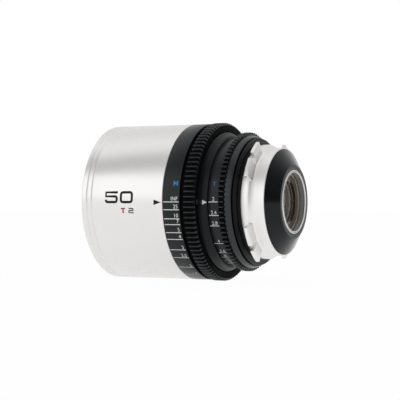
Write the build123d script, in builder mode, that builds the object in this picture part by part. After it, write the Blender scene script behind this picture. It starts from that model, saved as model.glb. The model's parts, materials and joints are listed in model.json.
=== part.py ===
from build123d import *
from math import cos, pi, radians, sin, sqrt, tan
import os

os.makedirs("parts", exist_ok=True)

# Frame: millimetres, X along the optical axis with the camera side at +X, +Z up.
# The origin is the middle of the flange seat, the rear face of the bayonet ears.
# The index line faces -Y, the side the focus puller stands on.

# Main sizes
front_end = -86.1
housing_r = 40.0
housing_rear = -39.5
slide_fit = 0.05
run_gap = 0.3
edge_break = 0.4
cut_over = 2.0
full_turn_angle = 360.0

# Front housing
thread_wall = 1.91
thread_r = housing_r - thread_wall
thread_end = -81.6
housing_wall = 2.5
housing_bore_r = housing_r - housing_wall
housing_lip = 0.8
housing_rear_break = 0.3
groove_1 = -82.55
groove_2 = -79.8
groove_half = 0.35
groove_deep = 0.35

# Front optics
cell_r = housing_bore_r - slide_fit
trim_rear = -79.8
trim_wall = 4.25
trim_bore_r = cell_r - trim_wall
trim_bevel = 1.1
cell_rear = -63.3
cell_wall = 3.95
front_glass_r = cell_r - cell_wall
cell_glass_r = front_glass_r + slide_fit
cell_lip = -64.9
cell_lip_wide = 4.5
cell_lip_r = front_glass_r - cell_lip_wide
front_rim_a = -76.3
front_rim_b = -72.8
front_dome_r = 170.0
front_dish_r = 80.0
dish_rim_wide = 6.5
dish_rim_r = front_glass_r - dish_rim_wide
second_rim = -69.3
second_dome_r = 90.0
spacer_wall = 6.0
spacer_bore_r = front_glass_r - spacer_wall

# Core barrel
core_front = -63.2
core_relief_a = -57.0
core_relief_b = -46.0
core_relief = 0.95
core_relief_r = cell_r - core_relief
core_land = -40.3
focus_ring_wall = 4.0
focus_land_r = housing_r - focus_ring_wall
index_seat_front = -23.3
index_seat_step = 4.5
index_seat_r = focus_land_r - index_seat_step
iris_land_front = -18.3
iris_land_step = 0.5
iris_land_r = index_seat_r - iris_land_step
core_rear = -4.8
core_wall = 4.0
carrier_bore_r = focus_land_r - core_wall
core_shoulder_a = -24.8
core_shoulder_b = -20.3
core_tail_wall = 1.6
iris_bore_r = iris_land_r - core_tail_wall
core_stop_wide = 3.4
core_stop_r = iris_bore_r - core_stop_wide

# Focus ring and its gear
focus_front = -39.2
focus_scale_end = -30.1
focus_groove_deep = 1.8
focus_groove_r = housing_r - focus_groove_deep
focus_gear_front = -28.85
focus_rear = -22.05
focus_seat_deep = 2.8
focus_seat_r = housing_r - focus_seat_deep
tooth_module = 0.8
focus_gear_proud = 0.4
focus_teeth = round(2 * (housing_r + focus_gear_proud) / tooth_module) - 2
tooth_root_share = 1.25
tooth_tip_share = 0.11
tooth_base_share = 0.36
tooth_bevel_a = -23.3
tooth_bevel_deep = 1.1
tooth_bevel_r = housing_r - tooth_bevel_deep
focus_throw_angle = 130.0

# Focus carrier and cam
carrier_front = -54.8
carrier_rear = -25.4
carrier_travel = 4.0
carrier_wall = 5.0
carrier_glass_r = carrier_bore_r - carrier_wall
carrier_glass_seat = -46.8
carrier_glass_front = -52.8
carrier_seat_wide = 3.0
carrier_mid_r = carrier_glass_r - carrier_seat_wide
carrier_mid_end = -40.0
carrier_step = 2.0
carrier_back_r = carrier_mid_r - carrier_step
carrier_back_front = -37.5
carrier_back_end = -31.0
carrier_exit_wide = 2.5
carrier_exit_r = carrier_back_r - carrier_exit_wide
carrier_dome_r = 75.0
carrier_dish_r = 52.0
carrier_rim_wide = 1.0
carrier_clear_r = carrier_exit_r - carrier_rim_wide
follower_x = -32.7
follower_r = 1.2
follower_sunk = 4.0
follower_in = carrier_bore_r - follower_sunk
follower_proud = 1.3
follower_out = focus_land_r + follower_proud
followers = 3
cam_half = 1.5
cam_mid = 0.6
cam_mid_r = focus_land_r + cam_mid
cam_depth = 2.0
cam_over_angle = 3.2

# Iris ring and its gear
iris_front = -18.2
iris_ring_wall = 1.75
iris_scale_r = iris_land_r + iris_ring_wall
iris_scale_end = -12.4
iris_seat_wall = 1.2
iris_seat_r = iris_land_r + iris_seat_wall
iris_rear = -6.2
iris_gear_front = -12.3
iris_gear_end = -7.55
iris_gear_rear = -6.0
iris_gear_proud = 2.45
iris_teeth = round(2 * (iris_scale_r + iris_gear_proud) / tooth_module) - 2
iris_land_proud = 0.65
iris_land_out = iris_scale_r + iris_land_proud
iris_land_bevel = 0.5
iris_throw_angle = 78.0

# Index ring between the two turning rings
index_nose_a = -23.2
index_nose_b = -21.9
index_nose_gap = 0.5
index_nose_r = focus_land_r - index_nose_gap
index_curve_x = -20.7
index_curve_drop = 1.65
index_curve_r = index_nose_r - index_curve_drop
index_rear = -18.5
index_rear_proud = 0.2
index_rear_r = iris_scale_r + index_rear_proud
tab_half = 1.2
tab_a = -21.7
tab_b = -20.9
tab_drop = 1.3
tab_out = housing_r - tab_drop
tab_root = 1.5
tab_in = index_seat_r + tab_root

# Iris mechanism
plate_end = -19.1
blades = 8
blade_first = -18.9
blade_pitch = 0.35
blade_thick = 0.2
pivot_share = 0.7483
pivot_circle = iris_bore_r * pivot_share
pivot_r = 0.6
pivot_front = -20.0
lever_share = 0.51
lever_len = pivot_circle * lever_share
lever_lead_angle = -14.0
lever_half = 1.0
drive_pin_r = 0.5
blade_in_share = 0.632
blade_in_r = pivot_circle * blade_in_share
blade_out_share = 0.923
blade_out_r = pivot_circle * blade_out_share
blade_sweep_angle = 128.0
blade_root_angle = 2.0
iris_open_gap = 0.4
iris_open_r = blade_in_r - iris_open_gap
ear_r = 1.5
ear_in_share = 0.873
ear_in = pivot_circle * ear_in_share
blade_turn_angle = 30.0
rotor_a = -15.8
rotor_b = -13.6
rotor_out = iris_bore_r - run_gap
rotor_in_share = 0.932
rotor_in = pivot_circle * rotor_in_share
rotor_slot = 1.6
blade_pin_end = -14.0
pin_x = -14.7
pin_r = 0.7
pin_sunk = 0.65
pin_in = rotor_out - pin_sunk
pin_skin = 0.45
pin_out = iris_scale_r - pin_skin
pin_slot_half = 1.0
pin_angle = 168.0
pin_end_angle = 3.6
cover_a = -13.3
cover_b = -12.3
cover_in_share = 0.886
cover_in = pivot_circle * cover_in_share

# Rear barrel and bayonet mount
barrel_front = -5.6
barrel_wall = 1.0
barrel_r = iris_land_r + barrel_wall
barrel_step = -4.1
barrel_floor = -4.7
neck_step = 2.8
neck_r = barrel_r - neck_step
neck_end = -2.6
neck_wall = 3.6
barrel_bore_r = neck_r - neck_wall
barrel_bevel = 0.3
shim_rear = -2.3
shim_step = 0.5
shim_r = neck_r - shim_step
hub_step = 0.4
hub_r = neck_r - hub_step
hub_relief = 0.5
hub_neck_r = hub_r - hub_relief
hub_rear = 1.9
ear_front = -1.4
ear_proud = 2.4
mount_ear_r = hub_r + ear_proud
side_gap_angle = 24.5
top_gap_angle = 17.0
ear_bevel = 0.25
ear_notch_angle = 48.0
ear_notch_half = 1.4
ear_notch_deep = 2.2
ear_notch_r = mount_ear_r - ear_notch_deep
mount_screw_count = 4
tube_step = 1.8
tube_r = hub_r - tube_step
tube_bevel_a = 7.8
tube_end = 8.8
tube_bevel = 1.1
tube_end_r = tube_r - tube_bevel
tube_wall = 2.5
mount_bore_r = tube_r - tube_wall
screw_inset = 1.7
screw_circle = hub_r - screw_inset
screw_r = 0.8
screw_head_r = 1.3
screw_head_a = -4.6
screw_head_b = -3.5
screw_end = 0.6
screw_angle = 45.0

# Rear cone and rear optics
spigot_front = 2.0
spigot_r = mount_bore_r - slide_fit
cone_base_proud = 1.25
cone_base_r = spigot_r + cone_base_proud
rear_glass_r = 14.0
rear_glass_front = 4.6
rear_bore_r = rear_glass_r + slide_fit
rear_tube_wall = 3.0
rear_tube_r = rear_glass_r + rear_tube_wall
rear_tube_step = 6.7
rear_nose_step = 1.0
rear_nose_r = rear_tube_r - rear_nose_step
cone_top = 13.3
cone_bore_r = rear_nose_r + slide_fit
cone_end_wall = 1.85
cone_end_r = cone_bore_r + cone_end_wall
cone_end_break = 0.5
cone_top_r = cone_end_r + cone_end_break
cone_end = 13.9
cone_step = 6.9
rear_nose = 11.2
flange_a = -12.2
flange_b = -10.2
flange_r = iris_bore_r - slide_fit
rear_mouth_wall = 1.1
rear_mouth_r = rear_nose_r - rear_mouth_wall
rear_mouth = 10.4
rear_lip_wide = 1.0
rear_lip_r = rear_glass_r - rear_lip_wide
rear_lip = 9.6
rear_dome_r = 60.0
rear_space_front = -1.4
rear_space_wall = 1.5
rear_space_r = rear_glass_r - rear_space_wall
rear_inner_front = -5.4
rear_dish_r = 40.0
rear_dish_rim_wide = 3.0
rear_dish_rim = rear_glass_r - rear_dish_rim_wide
rear_ring_front = -8.4
rear_ring_wall = 2.5
rear_ring_r = rear_glass_r - rear_ring_wall
silver_a = 11.4
silver_b = 14.2
silver_wall = 1.3
silver_r = rear_nose_r - silver_wall
silver_bevel = 0.35

# Glass sags worked out from the surface radii
front_sag = front_dome_r - sqrt(front_dome_r**2 - front_glass_r**2)
front_dish = front_dish_r - sqrt(front_dish_r**2 - dish_rim_r**2)
second_sag = second_dome_r - sqrt(second_dome_r**2 - dish_rim_r**2)
carrier_sag = carrier_dome_r - sqrt(carrier_dome_r**2 - carrier_clear_r**2)
carrier_dish = carrier_dish_r - sqrt(carrier_dish_r**2 - carrier_clear_r**2)
rear_sag = rear_dome_r - sqrt(rear_dome_r**2 - rear_ring_r**2)
rear_dish = rear_dish_r - sqrt(rear_dish_r**2 - rear_dish_rim**2)


# Corner points of a spur gear outline, four to a tooth
def gear_points(teeth, module):
    pitch_r = teeth * module / 2
    tip_r = pitch_r + module
    root_r = pitch_r - tooth_root_share * module
    step = 2 * pi / teeth
    tip_half = tooth_tip_share * step
    root_half = tooth_base_share * step
    corners = []
    for tooth in range(teeth):
        middle = tooth * step
        corners.append((root_r * cos(middle - root_half), root_r * sin(middle - root_half)))
        corners.append((tip_r * cos(middle - tip_half), tip_r * sin(middle - tip_half)))
        corners.append((tip_r * cos(middle + tip_half), tip_r * sin(middle + tip_half)))
        corners.append((root_r * cos(middle + root_half), root_r * sin(middle + root_half)))
    return corners


# A plane square to the optical axis, turned about it
def axial_plane(x, turn):
    return Plane(origin=(x, 0, 0), x_dir=(0, cos(radians(turn)), sin(radians(turn))), z_dir=(1, 0, 0))


# A plane that looks outward from the optical axis
def radial_plane(x, turn, reach):
    out = (0, cos(radians(turn)), sin(radians(turn)))
    start = (x, reach * out[1], reach * out[2])
    return Plane(origin=start, x_dir=(1, 0, 0), z_dir=out)


# Front housing, the painted sleeve with the filter thread at its minor radius
with BuildPart() as front_housing:
    with BuildSketch(Plane.XY):
        with BuildLine():
            Polyline(
                (front_end, thread_r + edge_break),
                (front_end, housing_r - housing_lip),
                (front_end + housing_lip, housing_r),
                (groove_1 - groove_half, housing_r),
                (groove_1, housing_r - groove_deep),
                (groove_1 + groove_half, housing_r),
                (groove_2 - groove_half, housing_r),
                (groove_2, housing_r - groove_deep),
                (groove_2 + groove_half, housing_r),
                (housing_rear - housing_rear_break, housing_r),
                (housing_rear, housing_r - housing_rear_break),
                (housing_rear, housing_bore_r),
                (thread_end, housing_bore_r),
                (thread_end, thread_r),
                (front_end + edge_break, thread_r),
                close=True,
            )
        make_face()
    revolve(axis=Axis.X)
front_housing.part.label = "front_housing"
export_step(front_housing.part, "parts/front_housing.step")

# Bevelled trim ring in front of the first glass
with BuildPart() as front_trim_ring:
    with BuildSketch(Plane.XY):
        with BuildLine():
            Polyline(
                (thread_end, cell_r),
                (thread_end, trim_bore_r + trim_bevel),
                (trim_rear - edge_break, trim_bore_r),
                (trim_rear, trim_bore_r),
                (trim_rear, cell_r),
                close=True,
            )
        make_face()
    revolve(axis=Axis.X)
front_trim_ring.part.label = "front_trim_ring"
export_step(front_trim_ring.part, "parts/front_trim_ring.step")

# Cell that holds the two front glasses
with BuildPart() as front_cell:
    with BuildSketch(Plane.XY):
        with BuildLine():
            Polyline(
                (trim_rear, cell_r),
                (trim_rear, cell_glass_r),
                (cell_lip, cell_glass_r),
                (cell_lip, cell_lip_r),
                (cell_rear, cell_lip_r),
                (cell_rear, cell_r),
                close=True,
            )
        make_face()
    revolve(axis=Axis.X)
front_cell.part.label = "front_cell"
export_step(front_cell.part, "parts/front_cell.step")

# First glass, a meniscus
with BuildPart() as front_glass:
    with BuildSketch(Plane.XY):
        with BuildLine():
            Line((front_rim_a - front_sag, 0), (front_rim_b - front_dish, 0))
            RadiusArc((front_rim_b - front_dish, 0), (front_rim_b, dish_rim_r), front_dish_r)
            Line((front_rim_b, dish_rim_r), (front_rim_b, front_glass_r))
            Line((front_rim_b, front_glass_r), (front_rim_a, front_glass_r))
            RadiusArc((front_rim_a, front_glass_r), (front_rim_a - front_sag, 0), -front_dome_r)
        make_face()
    revolve(axis=Axis.X)
front_glass.part.label = "front_glass"
export_step(front_glass.part, "parts/front_glass.step")

# Spacer between the front glasses
with BuildPart() as front_spacer:
    with BuildSketch(Plane.XY):
        with BuildLine():
            Polyline(
                (front_rim_b, front_glass_r),
                (front_rim_b, spacer_bore_r),
                (second_rim, spacer_bore_r),
                (second_rim, front_glass_r),
                close=True,
            )
        make_face()
    revolve(axis=Axis.X)
front_spacer.part.label = "front_spacer"
export_step(front_spacer.part, "parts/front_spacer.step")

# Second glass, domed to the front
with BuildPart() as second_glass:
    with BuildSketch(Plane.XY):
        with BuildLine():
            Line((second_rim - second_sag, 0), (cell_lip, 0))
            Line((cell_lip, 0), (cell_lip, front_glass_r))
            Line((cell_lip, front_glass_r), (second_rim, front_glass_r))
            Line((second_rim, front_glass_r), (second_rim, dish_rim_r))
            RadiusArc((second_rim, dish_rim_r), (second_rim - second_sag, 0), -second_dome_r)
        make_face()
    revolve(axis=Axis.X)
second_glass.part.label = "second_glass"
export_step(second_glass.part, "parts/second_glass.step")

# Arc window that the iris drive pin sweeps, cut from the core barrel below
slot_sweep = iris_throw_angle + 2 * pin_end_angle
slot_start = pin_angle + pin_end_angle
window_side = (0, -sin(radians(slot_start)), cos(radians(slot_start)))
with BuildPart() as pin_window:
    with BuildSketch(Plane(origin=(0, 0, 0), x_dir=(1, 0, 0), z_dir=window_side)):
        with Locations((pin_x, iris_land_r)):
            Rectangle(2 * pin_slot_half, 2 * (iris_land_r - iris_bore_r + run_gap))
    revolve(axis=Axis((0, 0, 0), (-1, 0, 0)), revolution_arc=slot_sweep)

# Core barrel, the fixed spine that every ring runs on
with BuildPart() as core_barrel:
    with BuildSketch(Plane.XY):
        with BuildLine():
            Polyline(
                (core_front, carrier_bore_r),
                (core_front, cell_r),
                (core_relief_a, cell_r),
                (core_relief_a, core_relief_r),
                (core_relief_b, core_relief_r),
                (core_relief_b, cell_r),
                (core_land, cell_r),
                (core_land, focus_land_r),
                (index_seat_front, focus_land_r),
                (index_seat_front, index_seat_r),
                (iris_land_front, index_seat_r),
                (iris_land_front, iris_land_r),
                (core_rear, iris_land_r),
                (core_rear, iris_bore_r),
                (core_shoulder_b, iris_bore_r),
                (core_shoulder_b, core_stop_r),
                (core_shoulder_a, core_stop_r),
                (core_shoulder_a, carrier_bore_r),
                close=True,
            )
        make_face()
    revolve(axis=Axis.X)
    # Straight guide slots for the cam followers
    for start in range(followers):
        with BuildSketch(radial_plane(follower_x - carrier_travel / 2, start * full_turn_angle / followers, follower_in)):
            SlotCenterToCenter(carrier_travel, 2 * cam_half)
        extrude(amount=cell_r - follower_in, mode=Mode.SUBTRACT)
    add(pin_window.part, mode=Mode.SUBTRACT)
core_barrel.part.label = "core_barrel"
export_step(core_barrel.part, "parts/core_barrel.step")


# One cam groove, a band swept along a helix about the optical axis
cam_pitch = carrier_travel * full_turn_angle / focus_throw_angle
cam_run = focus_throw_angle + 2 * cam_over_angle
cam_start_x = follower_x + cam_pitch * cam_over_angle / full_turn_angle
helix_origin_angle = full_turn_angle / 4
with BuildPart() as cam_groove:
    with BuildLine() as cam_line:
        Helix(
            pitch=cam_pitch,
            height=cam_pitch * cam_run / full_turn_angle,
            radius=cam_mid_r,
            center=(cam_start_x, 0, 0),
            direction=(-1, 0, 0),
            lefthand=True,
        )
    cam_path = cam_line.edges()[0]
    cam_begin = cam_path @ 0
    with BuildSketch(Plane(origin=cam_begin, x_dir=(0, cam_begin.Y, cam_begin.Z), z_dir=cam_path % 0)):
        Rectangle(cam_depth, 2 * cam_half)
    sweep(path=cam_path, is_frenet=True)

# Focus ring, with the three cam grooves that push the carrier
with BuildPart() as focus_ring:
    with BuildSketch(Plane.XY):
        with BuildLine():
            Polyline(
                (focus_front, focus_land_r + slide_fit),
                (focus_front, housing_r - barrel_bevel),
                (focus_front + barrel_bevel, housing_r),
                (focus_scale_end - barrel_bevel, housing_r),
                (focus_scale_end, housing_r - barrel_bevel),
                (focus_scale_end, focus_groove_r),
                (focus_gear_front, focus_groove_r),
                (focus_gear_front, focus_seat_r),
                (focus_rear, focus_seat_r),
                (focus_rear, focus_land_r + slide_fit),
                close=True,
            )
        make_face()
    revolve(axis=Axis.X)
    for start in range(followers):
        groove_turn = start * full_turn_angle / followers - cam_over_angle + helix_origin_angle
        add(cam_groove.part, rotation=(groove_turn, 0, 0), mode=Mode.SUBTRACT)
focus_ring.part.label = "focus_ring"
export_step(focus_ring.part, "parts/focus_ring.step")

# Focus gear, a separate toothed band pressed on the ring
focus_tip_r = (focus_teeth / 2 + 1) * tooth_module
with BuildPart() as focus_gear:
    with BuildSketch(axial_plane(focus_gear_front, 0)):
        with BuildLine():
            Polyline(*gear_points(focus_teeth, tooth_module), close=True)
        make_face()
        Circle(focus_seat_r + slide_fit, mode=Mode.SUBTRACT)
    extrude(amount=focus_rear - focus_gear_front)
    # Bevel on the rear ends of the teeth
    with BuildSketch(Plane.XY):
        with BuildLine():
            Polyline(
                (tooth_bevel_a, focus_tip_r),
                (focus_rear, tooth_bevel_r),
                (focus_rear, focus_tip_r + edge_break),
                (tooth_bevel_a, focus_tip_r + edge_break),
                close=True,
            )
        make_face()
    revolve(axis=Axis.X, mode=Mode.SUBTRACT)
focus_gear.part.label = "focus_gear"
export_step(focus_gear.part, "parts/focus_gear.step")

# Focus carrier, the sleeve that slides inside the core barrel
with BuildPart() as focus_carrier:
    with BuildSketch(Plane.XY):
        with BuildLine():
            Polyline(
                (carrier_front, carrier_glass_r + slide_fit),
                (carrier_front, carrier_bore_r - slide_fit),
                (carrier_rear, carrier_bore_r - slide_fit),
                (carrier_rear, carrier_exit_r),
                (carrier_back_end, carrier_exit_r),
                (carrier_back_end, carrier_back_r + slide_fit),
                (carrier_mid_end, carrier_back_r + slide_fit),
                (carrier_mid_end, carrier_mid_r),
                (carrier_glass_seat, carrier_mid_r),
                (carrier_glass_seat, carrier_glass_r + slide_fit),
                close=True,
            )
        make_face()
    revolve(axis=Axis.X)
    for start in range(followers):
        with BuildSketch(radial_plane(follower_x, start * full_turn_angle / followers, follower_in)):
            Circle(follower_r + slide_fit)
        extrude(amount=carrier_bore_r - follower_in, mode=Mode.SUBTRACT)
focus_carrier.part.label = "focus_carrier"
export_step(focus_carrier.part, "parts/focus_carrier.step")

# Cam followers, three pins that reach through the core into the ring
with BuildPart() as cam_followers:
    for start in range(followers):
        with BuildSketch(radial_plane(follower_x, start * full_turn_angle / followers, follower_in)):
            Circle(follower_r)
        extrude(amount=follower_out - follower_in)
cam_followers.part.label = "cam_followers"
export_step(cam_followers.part, "parts/cam_followers.step")

# Front glass of the focus carrier
with BuildPart() as carrier_front_glass:
    with BuildSketch(Plane.XY):
        with BuildLine():
            Line((carrier_glass_front - carrier_sag, 0), (carrier_glass_seat, 0))
            Line((carrier_glass_seat, 0), (carrier_glass_seat, carrier_glass_r))
            Line((carrier_glass_seat, carrier_glass_r), (carrier_glass_front, carrier_glass_r))
            Line((carrier_glass_front, carrier_glass_r), (carrier_glass_front, carrier_clear_r))
            RadiusArc((carrier_glass_front, carrier_clear_r), (carrier_glass_front - carrier_sag, 0), -carrier_dome_r)
        make_face()
    revolve(axis=Axis.X)
carrier_front_glass.part.label = "carrier_front_glass"
export_step(carrier_front_glass.part, "parts/carrier_front_glass.step")

# Ring that locks the front glass in the carrier
with BuildPart() as carrier_retainer:
    with BuildSketch(Plane.XY):
        with BuildLine():
            Polyline(
                (carrier_front, carrier_glass_r),
                (carrier_front, carrier_mid_r),
                (carrier_glass_front, carrier_mid_r),
                (carrier_glass_front, carrier_glass_r),
                close=True,
            )
        make_face()
    revolve(axis=Axis.X)
carrier_retainer.part.label = "carrier_retainer"
export_step(carrier_retainer.part, "parts/carrier_retainer.step")

# Rear glass of the focus carrier, dished to the front
with BuildPart() as carrier_rear_glass:
    with BuildSketch(Plane.XY):
        with BuildLine():
            Line((carrier_back_front + carrier_dish, 0), (carrier_back_end, 0))
            Line((carrier_back_end, 0), (carrier_back_end, carrier_back_r))
            Line((carrier_back_end, carrier_back_r), (carrier_back_front, carrier_back_r))
            Line((carrier_back_front, carrier_back_r), (carrier_back_front, carrier_clear_r))
            RadiusArc((carrier_back_front, carrier_clear_r), (carrier_back_front + carrier_dish, 0), carrier_dish_r)
        make_face()
    revolve(axis=Axis.X)
carrier_rear_glass.part.label = "carrier_rear_glass"
export_step(carrier_rear_glass.part, "parts/carrier_rear_glass.step")

# Ring that locks the rear glass in the carrier
with BuildPart() as carrier_spacer:
    with BuildSketch(Plane.XY):
        with BuildLine():
            Polyline(
                (carrier_mid_end, carrier_back_r),
                (carrier_mid_end, carrier_exit_r),
                (carrier_back_front, carrier_exit_r),
                (carrier_back_front, carrier_back_r),
                close=True,
            )
        make_face()
    revolve(axis=Axis.X)
carrier_spacer.part.label = "carrier_spacer"
export_step(carrier_spacer.part, "parts/carrier_spacer.step")

# Index ring, a hollow cone with a small tab over the focus ring
with BuildPart() as index_ring:
    with BuildSketch(Plane.XY):
        with BuildLine():
            Line((index_nose_a, index_seat_r + slide_fit), (index_nose_a, index_nose_r))
            Line((index_nose_a, index_nose_r), (index_nose_b, index_nose_r))
            ThreePointArc(
                (index_nose_b, index_nose_r),
                (index_curve_x, index_curve_r),
                (index_rear, index_rear_r),
            )
            Line((index_rear, index_rear_r), (index_rear, index_seat_r + slide_fit))
            Line((index_rear, index_seat_r + slide_fit), (index_nose_a, index_seat_r + slide_fit))
        make_face()
    revolve(axis=Axis.X)
    with BuildSketch(Plane.XY):
        with Locations(((tab_a + tab_b) / 2, -(tab_in + tab_out) / 2)):
            Rectangle(tab_b - tab_a, tab_out - tab_in)
    extrude(amount=tab_half, both=True)
index_ring.part.label = "index_ring"
export_step(index_ring.part, "parts/index_ring.step")

# Iris ring with a blind hole for the drive pin
with BuildPart() as iris_ring:
    with BuildSketch(Plane.XY):
        with BuildLine():
            Polyline(
                (iris_front, iris_land_r + slide_fit),
                (iris_front, iris_scale_r - barrel_bevel),
                (iris_front + barrel_bevel, iris_scale_r),
                (iris_scale_end, iris_scale_r),
                (iris_scale_end, iris_seat_r),
                (iris_rear, iris_seat_r),
                (iris_rear, iris_land_r + slide_fit),
                close=True,
            )
        make_face()
    revolve(axis=Axis.X)
    with BuildSketch(radial_plane(pin_x, pin_angle, pin_in)):
        Circle(pin_r + slide_fit)
    extrude(amount=pin_out + slide_fit - pin_in, mode=Mode.SUBTRACT)
iris_ring.part.label = "iris_ring"
export_step(iris_ring.part, "parts/iris_ring.step")

# Iris gear with its plain rear land
iris_tip_r = (iris_teeth / 2 + 1) * tooth_module
with BuildPart() as iris_gear:
    with BuildSketch(axial_plane(iris_gear_front, 0)):
        with BuildLine():
            Polyline(*gear_points(iris_teeth, tooth_module), close=True)
        make_face()
        Circle(iris_seat_r + slide_fit, mode=Mode.SUBTRACT)
    extrude(amount=iris_gear_end - iris_gear_front)
    with BuildSketch(Plane.XY):
        with BuildLine():
            Polyline(
                (iris_gear_front, iris_land_out + edge_break),
                (iris_gear_front + edge_break, iris_tip_r),
                (iris_gear_front + edge_break, iris_tip_r + edge_break),
                (iris_gear_front, iris_tip_r + edge_break),
                close=True,
            )
        make_face()
    revolve(axis=Axis.X, mode=Mode.SUBTRACT)
    with BuildSketch(Plane.XY):
        with BuildLine():
            Polyline(
                (iris_gear_end, iris_seat_r + slide_fit),
                (iris_gear_end, iris_land_out),
                (iris_gear_rear - iris_land_bevel, iris_land_out),
                (iris_gear_rear, iris_land_out - iris_land_bevel),
                (iris_gear_rear, iris_seat_r + slide_fit),
                close=True,
            )
        make_face()
    revolve(axis=Axis.X)
iris_gear.part.label = "iris_gear"
export_step(iris_gear.part, "parts/iris_gear.step")

# Pin that carries the iris ring's turn through the core to the rotor
with BuildPart() as iris_drive_pin:
    with BuildSketch(radial_plane(pin_x, pin_angle, pin_in)):
        Circle(pin_r)
    extrude(amount=pin_out - pin_in)
iris_drive_pin.part.label = "iris_drive_pin"
export_step(iris_drive_pin.part, "parts/iris_drive_pin.step")


# Where a blade's drive pin stands on the rotor when the iris is closed by a share of its throw
def rotor_point(share):
    lead = radians(full_turn_angle / 4 - lever_lead_angle - share * blade_turn_angle)
    across = pivot_circle + lever_len * cos(lead)
    up = lever_len * sin(lead)
    turned = radians(share * iris_throw_angle)
    return (across * cos(turned) - up * sin(turned), across * sin(turned) + up * cos(turned))


# Iris rotor with one curved slot to a blade
with BuildLine() as rotor_path:
    ThreePointArc(rotor_point(0), rotor_point(1 / 2), rotor_point(1))
with BuildPart() as iris_rotor:
    with BuildSketch(axial_plane(rotor_a, 0)):
        Circle(rotor_out)
        Circle(rotor_in, mode=Mode.SUBTRACT)
        with PolarLocations(0, blades):
            SlotArc(rotor_path.edges()[0], rotor_slot, mode=Mode.SUBTRACT)
    extrude(amount=rotor_b - rotor_a)
    with BuildSketch(radial_plane(pin_x, pin_angle, pin_in - slide_fit)):
        Circle(pin_r + slide_fit)
    extrude(amount=rotor_out + edge_break - pin_in, mode=Mode.SUBTRACT)
iris_rotor.part.label = "iris_rotor"
export_step(iris_rotor.part, "parts/iris_rotor.step")

# Fixed plate with the blades' pivot holes
with BuildPart() as iris_base_plate:
    with BuildSketch(axial_plane(core_shoulder_b, 0)):
        Circle(flange_r)
        Circle(iris_open_r, mode=Mode.SUBTRACT)
        with PolarLocations(pivot_circle, blades):
            Circle(pivot_r + slide_fit, mode=Mode.SUBTRACT)
    extrude(amount=plate_end - core_shoulder_b)
iris_base_plate.part.label = "iris_base_plate"
export_step(iris_base_plate.part, "parts/iris_base_plate.step")

# Cover that keeps the rotor in place
with BuildPart() as iris_cover_ring:
    with BuildSketch(axial_plane(cover_a, 0)):
        Circle(flange_r)
        Circle(cover_in, mode=Mode.SUBTRACT)
    extrude(amount=cover_b - cover_a)
iris_cover_ring.part.label = "iris_cover_ring"
export_step(iris_cover_ring.part, "parts/iris_cover_ring.step")

# Iris blades, one layer each, a leaf with a lever outside its neighbours' reach
lever_turn = full_turn_angle / 4 - lever_lead_angle
lever_end = (pivot_circle + lever_len * cos(radians(lever_turn)), lever_len * sin(radians(lever_turn)))
lever_middle = ((pivot_circle + lever_end[0]) / 2, lever_end[1] / 2)
for number in range(blades):
    turn = number * full_turn_angle / blades
    layer = blade_first + number * blade_pitch
    with BuildPart() as iris_blade:
        with BuildSketch(axial_plane(layer, turn)):
            with BuildLine():
                inner = CenterArc((0, 0), blade_in_r, -blade_sweep_angle, blade_sweep_angle - blade_root_angle)
                outer = CenterArc((0, 0), blade_out_r, -blade_sweep_angle, blade_sweep_angle - blade_root_angle)
                Line(inner @ 0, outer @ 0)
                Line(inner @ 1, outer @ 1)
            make_face()
            with Locations(((pivot_circle + ear_in) / 2, 0)):
                SlotCenterToCenter(pivot_circle - ear_in, 2 * ear_r)
            with Locations(lever_middle):
                SlotCenterToCenter(lever_len, 2 * lever_half, rotation=lever_turn)
        extrude(amount=blade_thick)
        with BuildSketch(axial_plane(pivot_front, turn)):
            with Locations((pivot_circle, 0)):
                Circle(pivot_r)
        extrude(amount=layer + blade_thick - pivot_front)
        with BuildSketch(axial_plane(layer, turn)):
            with Locations(lever_end):
                Circle(drive_pin_r)
        extrude(amount=blade_pin_end - layer)
    iris_blade.part.label = "iris_blade_" + str(number + 1)
    export_step(iris_blade.part, "parts/iris_blade_" + str(number + 1) + ".step")

# Rear barrel, the cup that closes the core and carries the mount
with BuildPart() as rear_barrel:
    with BuildSketch(Plane.XY):
        with BuildLine():
            Polyline(
                (barrel_front, iris_land_r + slide_fit),
                (barrel_front, barrel_r - barrel_bevel),
                (barrel_front + barrel_bevel, barrel_r),
                (barrel_step - barrel_bevel, barrel_r),
                (barrel_step, barrel_r - barrel_bevel),
                (barrel_step, neck_r),
                (neck_end, neck_r),
                (neck_end, barrel_bore_r),
                (barrel_floor, barrel_bore_r),
                (barrel_floor, iris_land_r + slide_fit),
                close=True,
            )
        make_face()
    revolve(axis=Axis.X)
    with BuildSketch(axial_plane(barrel_floor, 0)):
        with PolarLocations(screw_circle, mount_screw_count, start_angle=screw_angle):
            Circle(screw_r + slide_fit)
    extrude(amount=neck_end - barrel_floor, mode=Mode.SUBTRACT)
    with BuildSketch(axial_plane(barrel_floor, 0)):
        with PolarLocations(screw_circle, mount_screw_count, start_angle=screw_angle):
            Circle(screw_head_r + slide_fit)
    extrude(amount=screw_head_b - barrel_floor, mode=Mode.SUBTRACT)
rear_barrel.part.label = "rear_barrel"
export_step(rear_barrel.part, "parts/rear_barrel.step")

# Shim that sets the flange distance
with BuildPart() as mount_shim:
    with BuildSketch(axial_plane(neck_end, 0)):
        Circle(shim_r)
        Circle(barrel_bore_r, mode=Mode.SUBTRACT)
        with PolarLocations(screw_circle, mount_screw_count, start_angle=screw_angle):
            Circle(screw_r + slide_fit, mode=Mode.SUBTRACT)
    extrude(amount=shim_rear - neck_end)
mount_shim.part.label = "mount_shim"
export_step(mount_shim.part, "parts/mount_shim.step")

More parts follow.
